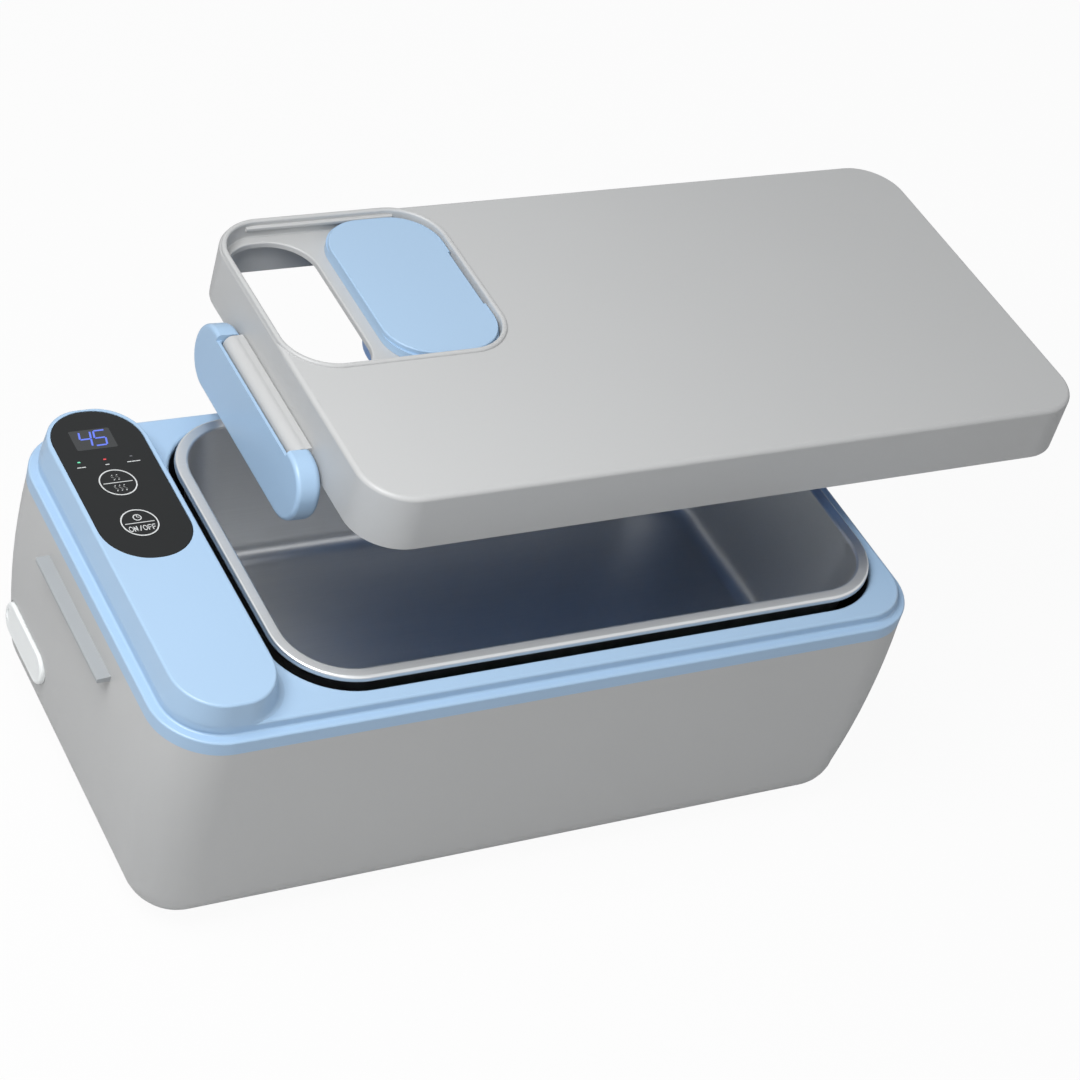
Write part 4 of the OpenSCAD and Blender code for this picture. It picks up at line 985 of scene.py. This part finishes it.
grip = add_block("grip", (grip_x - GRIP_W, POCKET_Y - GRIP_L / 2, SHUT_TOP - GRIP_H),
                 (grip_x + 1 * MM, POCKET_Y + GRIP_L / 2, SHUT_TOP + 1 * MM))
combine(shutter, grip, "DIFFERENCE")
soften(shutter, lambda a, b: min(a.z, b.z) > SHUT_TOP - TINY
       and max(abs(a.x - grip_x + GRIP_W), abs(b.x - grip_x + GRIP_W)) < TINY, 0.3 * MM, 3)
complete(shutter, "shutter", blue_shell, ["window_shutter"], lifted=True)

# %% [markdown]
# ## Lid pan
# The blue inner pan closes the lid from below. Its hollow plug drops into the tray's mouth,
# and its plate is screwed up against the lid.

# %% Pan
PLUG_GAP, PAN_T, PLUG_LEAN = 1.7 * MM, 2 * MM, 1 * MM
PAN_TOP = POCKET_FLOOR - 2.2 * MM
PLUG_LOW = LID_Z - 15.1 * MM
plug_l, plug_w = mouth_l - 2 * PLUG_GAP, mouth_w - 2 * PLUG_GAP
plug_r = TRAY_R - FLANGE - PLUG_GAP
pan = plan_block("pan", (TRAY_X, 0), (plug_l, plug_w), PLUG_LOW, PAN_TOP, plug_r, 16)
open_cap(pan, PLUG_LOW, -1)
bpy.ops.transform.resize(value=(1 - 2 * PLUG_LEAN / plug_l, 1 - 2 * PLUG_LEAN / plug_w, 1))
done()
soften(pan, lambda a, b: max(a.z, b.z) < PLUG_LOW + TINY, 1.4 * MM, 5)
plate = plan_block("plate", (TRAY_X + 0.6 * MM, 0), (plug_l + 4.6 * MM, 130 * MM), PAN_TOP - PAN_T,
                   PAN_TOP, 20 * MM, 16)
combine(pan, plate, "UNION")
core = plan_block("core", (TRAY_X, 0), (plug_l - 2 * PAN_T, plug_w - 2 * PAN_T), PLUG_LOW + PAN_T,
                  PAN_TOP + 5 * MM, plug_r - PAN_T, 16)
open_cap(core, PLUG_LOW + PAN_T, -1)
bpy.ops.transform.resize(value=(1 - 2 * PLUG_LEAN / plug_l, 1 - 2 * PLUG_LEAN / plug_w, 1))
done()
combine(pan, core, "DIFFERENCE")
# The pan's darker blue is partly painted shade from the lid above it.
complete(pan, "lid", blue_pan_painted_shade, ["lid_liner"], lifted=True)

# %% [markdown]
# ## Latch levers
# Each lever is a pill-shaped plate with a thick rounded cheek at each end. The cheeks hold the
# pin, and the plate's lower edge turns inward as a hook. It is modelled once, hanging straight
# down from its pin, and then copied to both ends.

# %% Lever
LEVER_L, PLATE_IN, PLATE_T = 85.0 * MM, 3.7 * MM, 2.0 * MM
LEVER_TOP, LEVER_LOW, LEVER_BACK = 3.4 * MM, -19.8 * MM, -3.0 * MM
PIN_L = BARREL_L + 14.8 * MM
FLARE = math.radians(3)


def side_cap(obj, x, facing):
    """Opens obj for editing with its upright faces at x selected."""
    edit_select(obj, "FACE", lambda c, n: n.x * facing > FACING and abs(c.x - x) < NEAR)


def lever(name):
    """Adds the lever round the origin, with its plate towards +x."""
    height, face = LEVER_TOP - LEVER_LOW, PLATE_IN + PLATE_T
    outer_round, inner_round = 1.5 * MM, 2.6 * MM
    body = rounded_block(name, (LEVER_BACK + inner_round, -LEVER_L / 2, LEVER_LOW),
                         (face - outer_round, LEVER_L / 2, LEVER_TOP), height / 2 - 0.3 * MM, 0, 24)
    side_cap(body, face - outer_round, 1)
    step_cap(over_edge(outer_round, 6))
    done()
    side_cap(body, LEVER_BACK + inner_round, -1)
    step_cap(over_edge(inner_round, 7))
    done()
    room_y = BARREL_L / 2 + 0.3 * MM
    room = add_block("room", (LEVER_BACK - 5 * MM, -room_y, LEVER_LOW + 2.2 * MM),
                     (PLATE_IN, room_y, LEVER_TOP + 5 * MM))
    combine(body, room, "DIFFERENCE")
    top_cut = add_block("top_cut", (-5 * MM, -room_y - 0.01 * MM, 1.2 * MM),
                        (PLATE_IN + 5 * MM, room_y + 0.01 * MM, LEVER_TOP + 5 * MM))
    combine(body, top_cut, "DIFFERENCE")
    groove = add_block("groove", (PLATE_IN - 0.1 * MM, -room_y + 0.4 * MM, -7 * MM),
                       (PLATE_IN + 0.9 * MM, room_y - 0.4 * MM, 3 * MM))
    combine(body, groove, "DIFFERENCE")
    under = add_block("under", (LEVER_BACK - 5 * MM, -room_y - 0.02 * MM, LEVER_LOW - 5 * MM),
                      (0.9 * MM, room_y + 0.02 * MM, LEVER_LOW + 3 * MM))
    combine(body, under, "DIFFERENCE")
    pin_bore = rod("pin_bore", (0, 0, 0), PIN_R + 0.05 * MM, PIN_L + 0.4 * MM, "y", 24)
    combine(body, pin_bore, "DIFFERENCE")
    return body


pattern = lever("lever_pattern")
for name, side in (("left_lever", -1), ("right_lever", 1)):
    only(pattern)
    bpy.ops.object.duplicate()
    piece = bpy.context.object
    piece.name = name
    if side < 0:
        piece.rotation_euler = (0, 0, math.pi)
        settle(piece)
    piece.rotation_euler = (0, -side * FLARE, 0)
    piece.location = (side * BARREL_X, LATCH_Y, BARREL_Z)
    settle(piece)
    body_name = "latch_l" if side < 0 else "latch_r"
    complete(piece, body_name, blue_shell, ["latch_" + name.split("_")[0]], lifted=True)
only(pattern)
bpy.ops.object.delete()

# %% [markdown]
# ## Inlet cover
# A soft white cover presses into the charging inlet. Its face is a shallow panel inside a
# rounded border, and a crescent near its end takes a fingernail.

# %% Cover
cover_round = 0.9 * MM
cover = pill_x("cover", COVER_L, COVER_H, PORT_X - COVER_T + cover_round, PORT_X - 0.1 * MM, 20)
side_cap(cover, PORT_X - COVER_T + cover_round, -1)
step_cap(over_edge(cover_round, 6) + [(0.5 * MM, 0), (0.3 * MM, -0.12 * MM)])
done()
NAIL_R = 2.4 * MM
crescent = rod("crescent", (PORT_X - COVER_T, PORT_Y + COVER_L / 2 - 3.6 * MM, PORT_Z),
               NAIL_R, 1.0 * MM, "x", 32)
keep = rod("keep", (PORT_X - COVER_T, PORT_Y + COVER_L / 2 - 4.7 * MM, PORT_Z),
           NAIL_R, 3 * MM, "x", 32)
combine(crescent, keep, "DIFFERENCE")
combine(cover, crescent, "DIFFERENCE")
plug = pill_x("plug", COVER_L - 5 * MM, 3.8 * MM, PORT_X - 0.6 * MM, PORT_X + 1.1 * MM)
combine(cover, plug, "UNION")
stem = rod("stem", (PORT_X + 3.4 * MM, JACK_Y, PORT_Z), 2.05 * MM, 8 * MM, "x", 32)
stem_bore = rod("stem_bore", (PORT_X + 5 * MM, JACK_Y, PORT_Z), 1.1 * MM, 9.2 * MM, "x", 24)
combine(cover, stem, "UNION")
combine(cover, stem_bore, "DIFFERENCE")
complete(cover, "cover", cover_white, ["port_cover"])
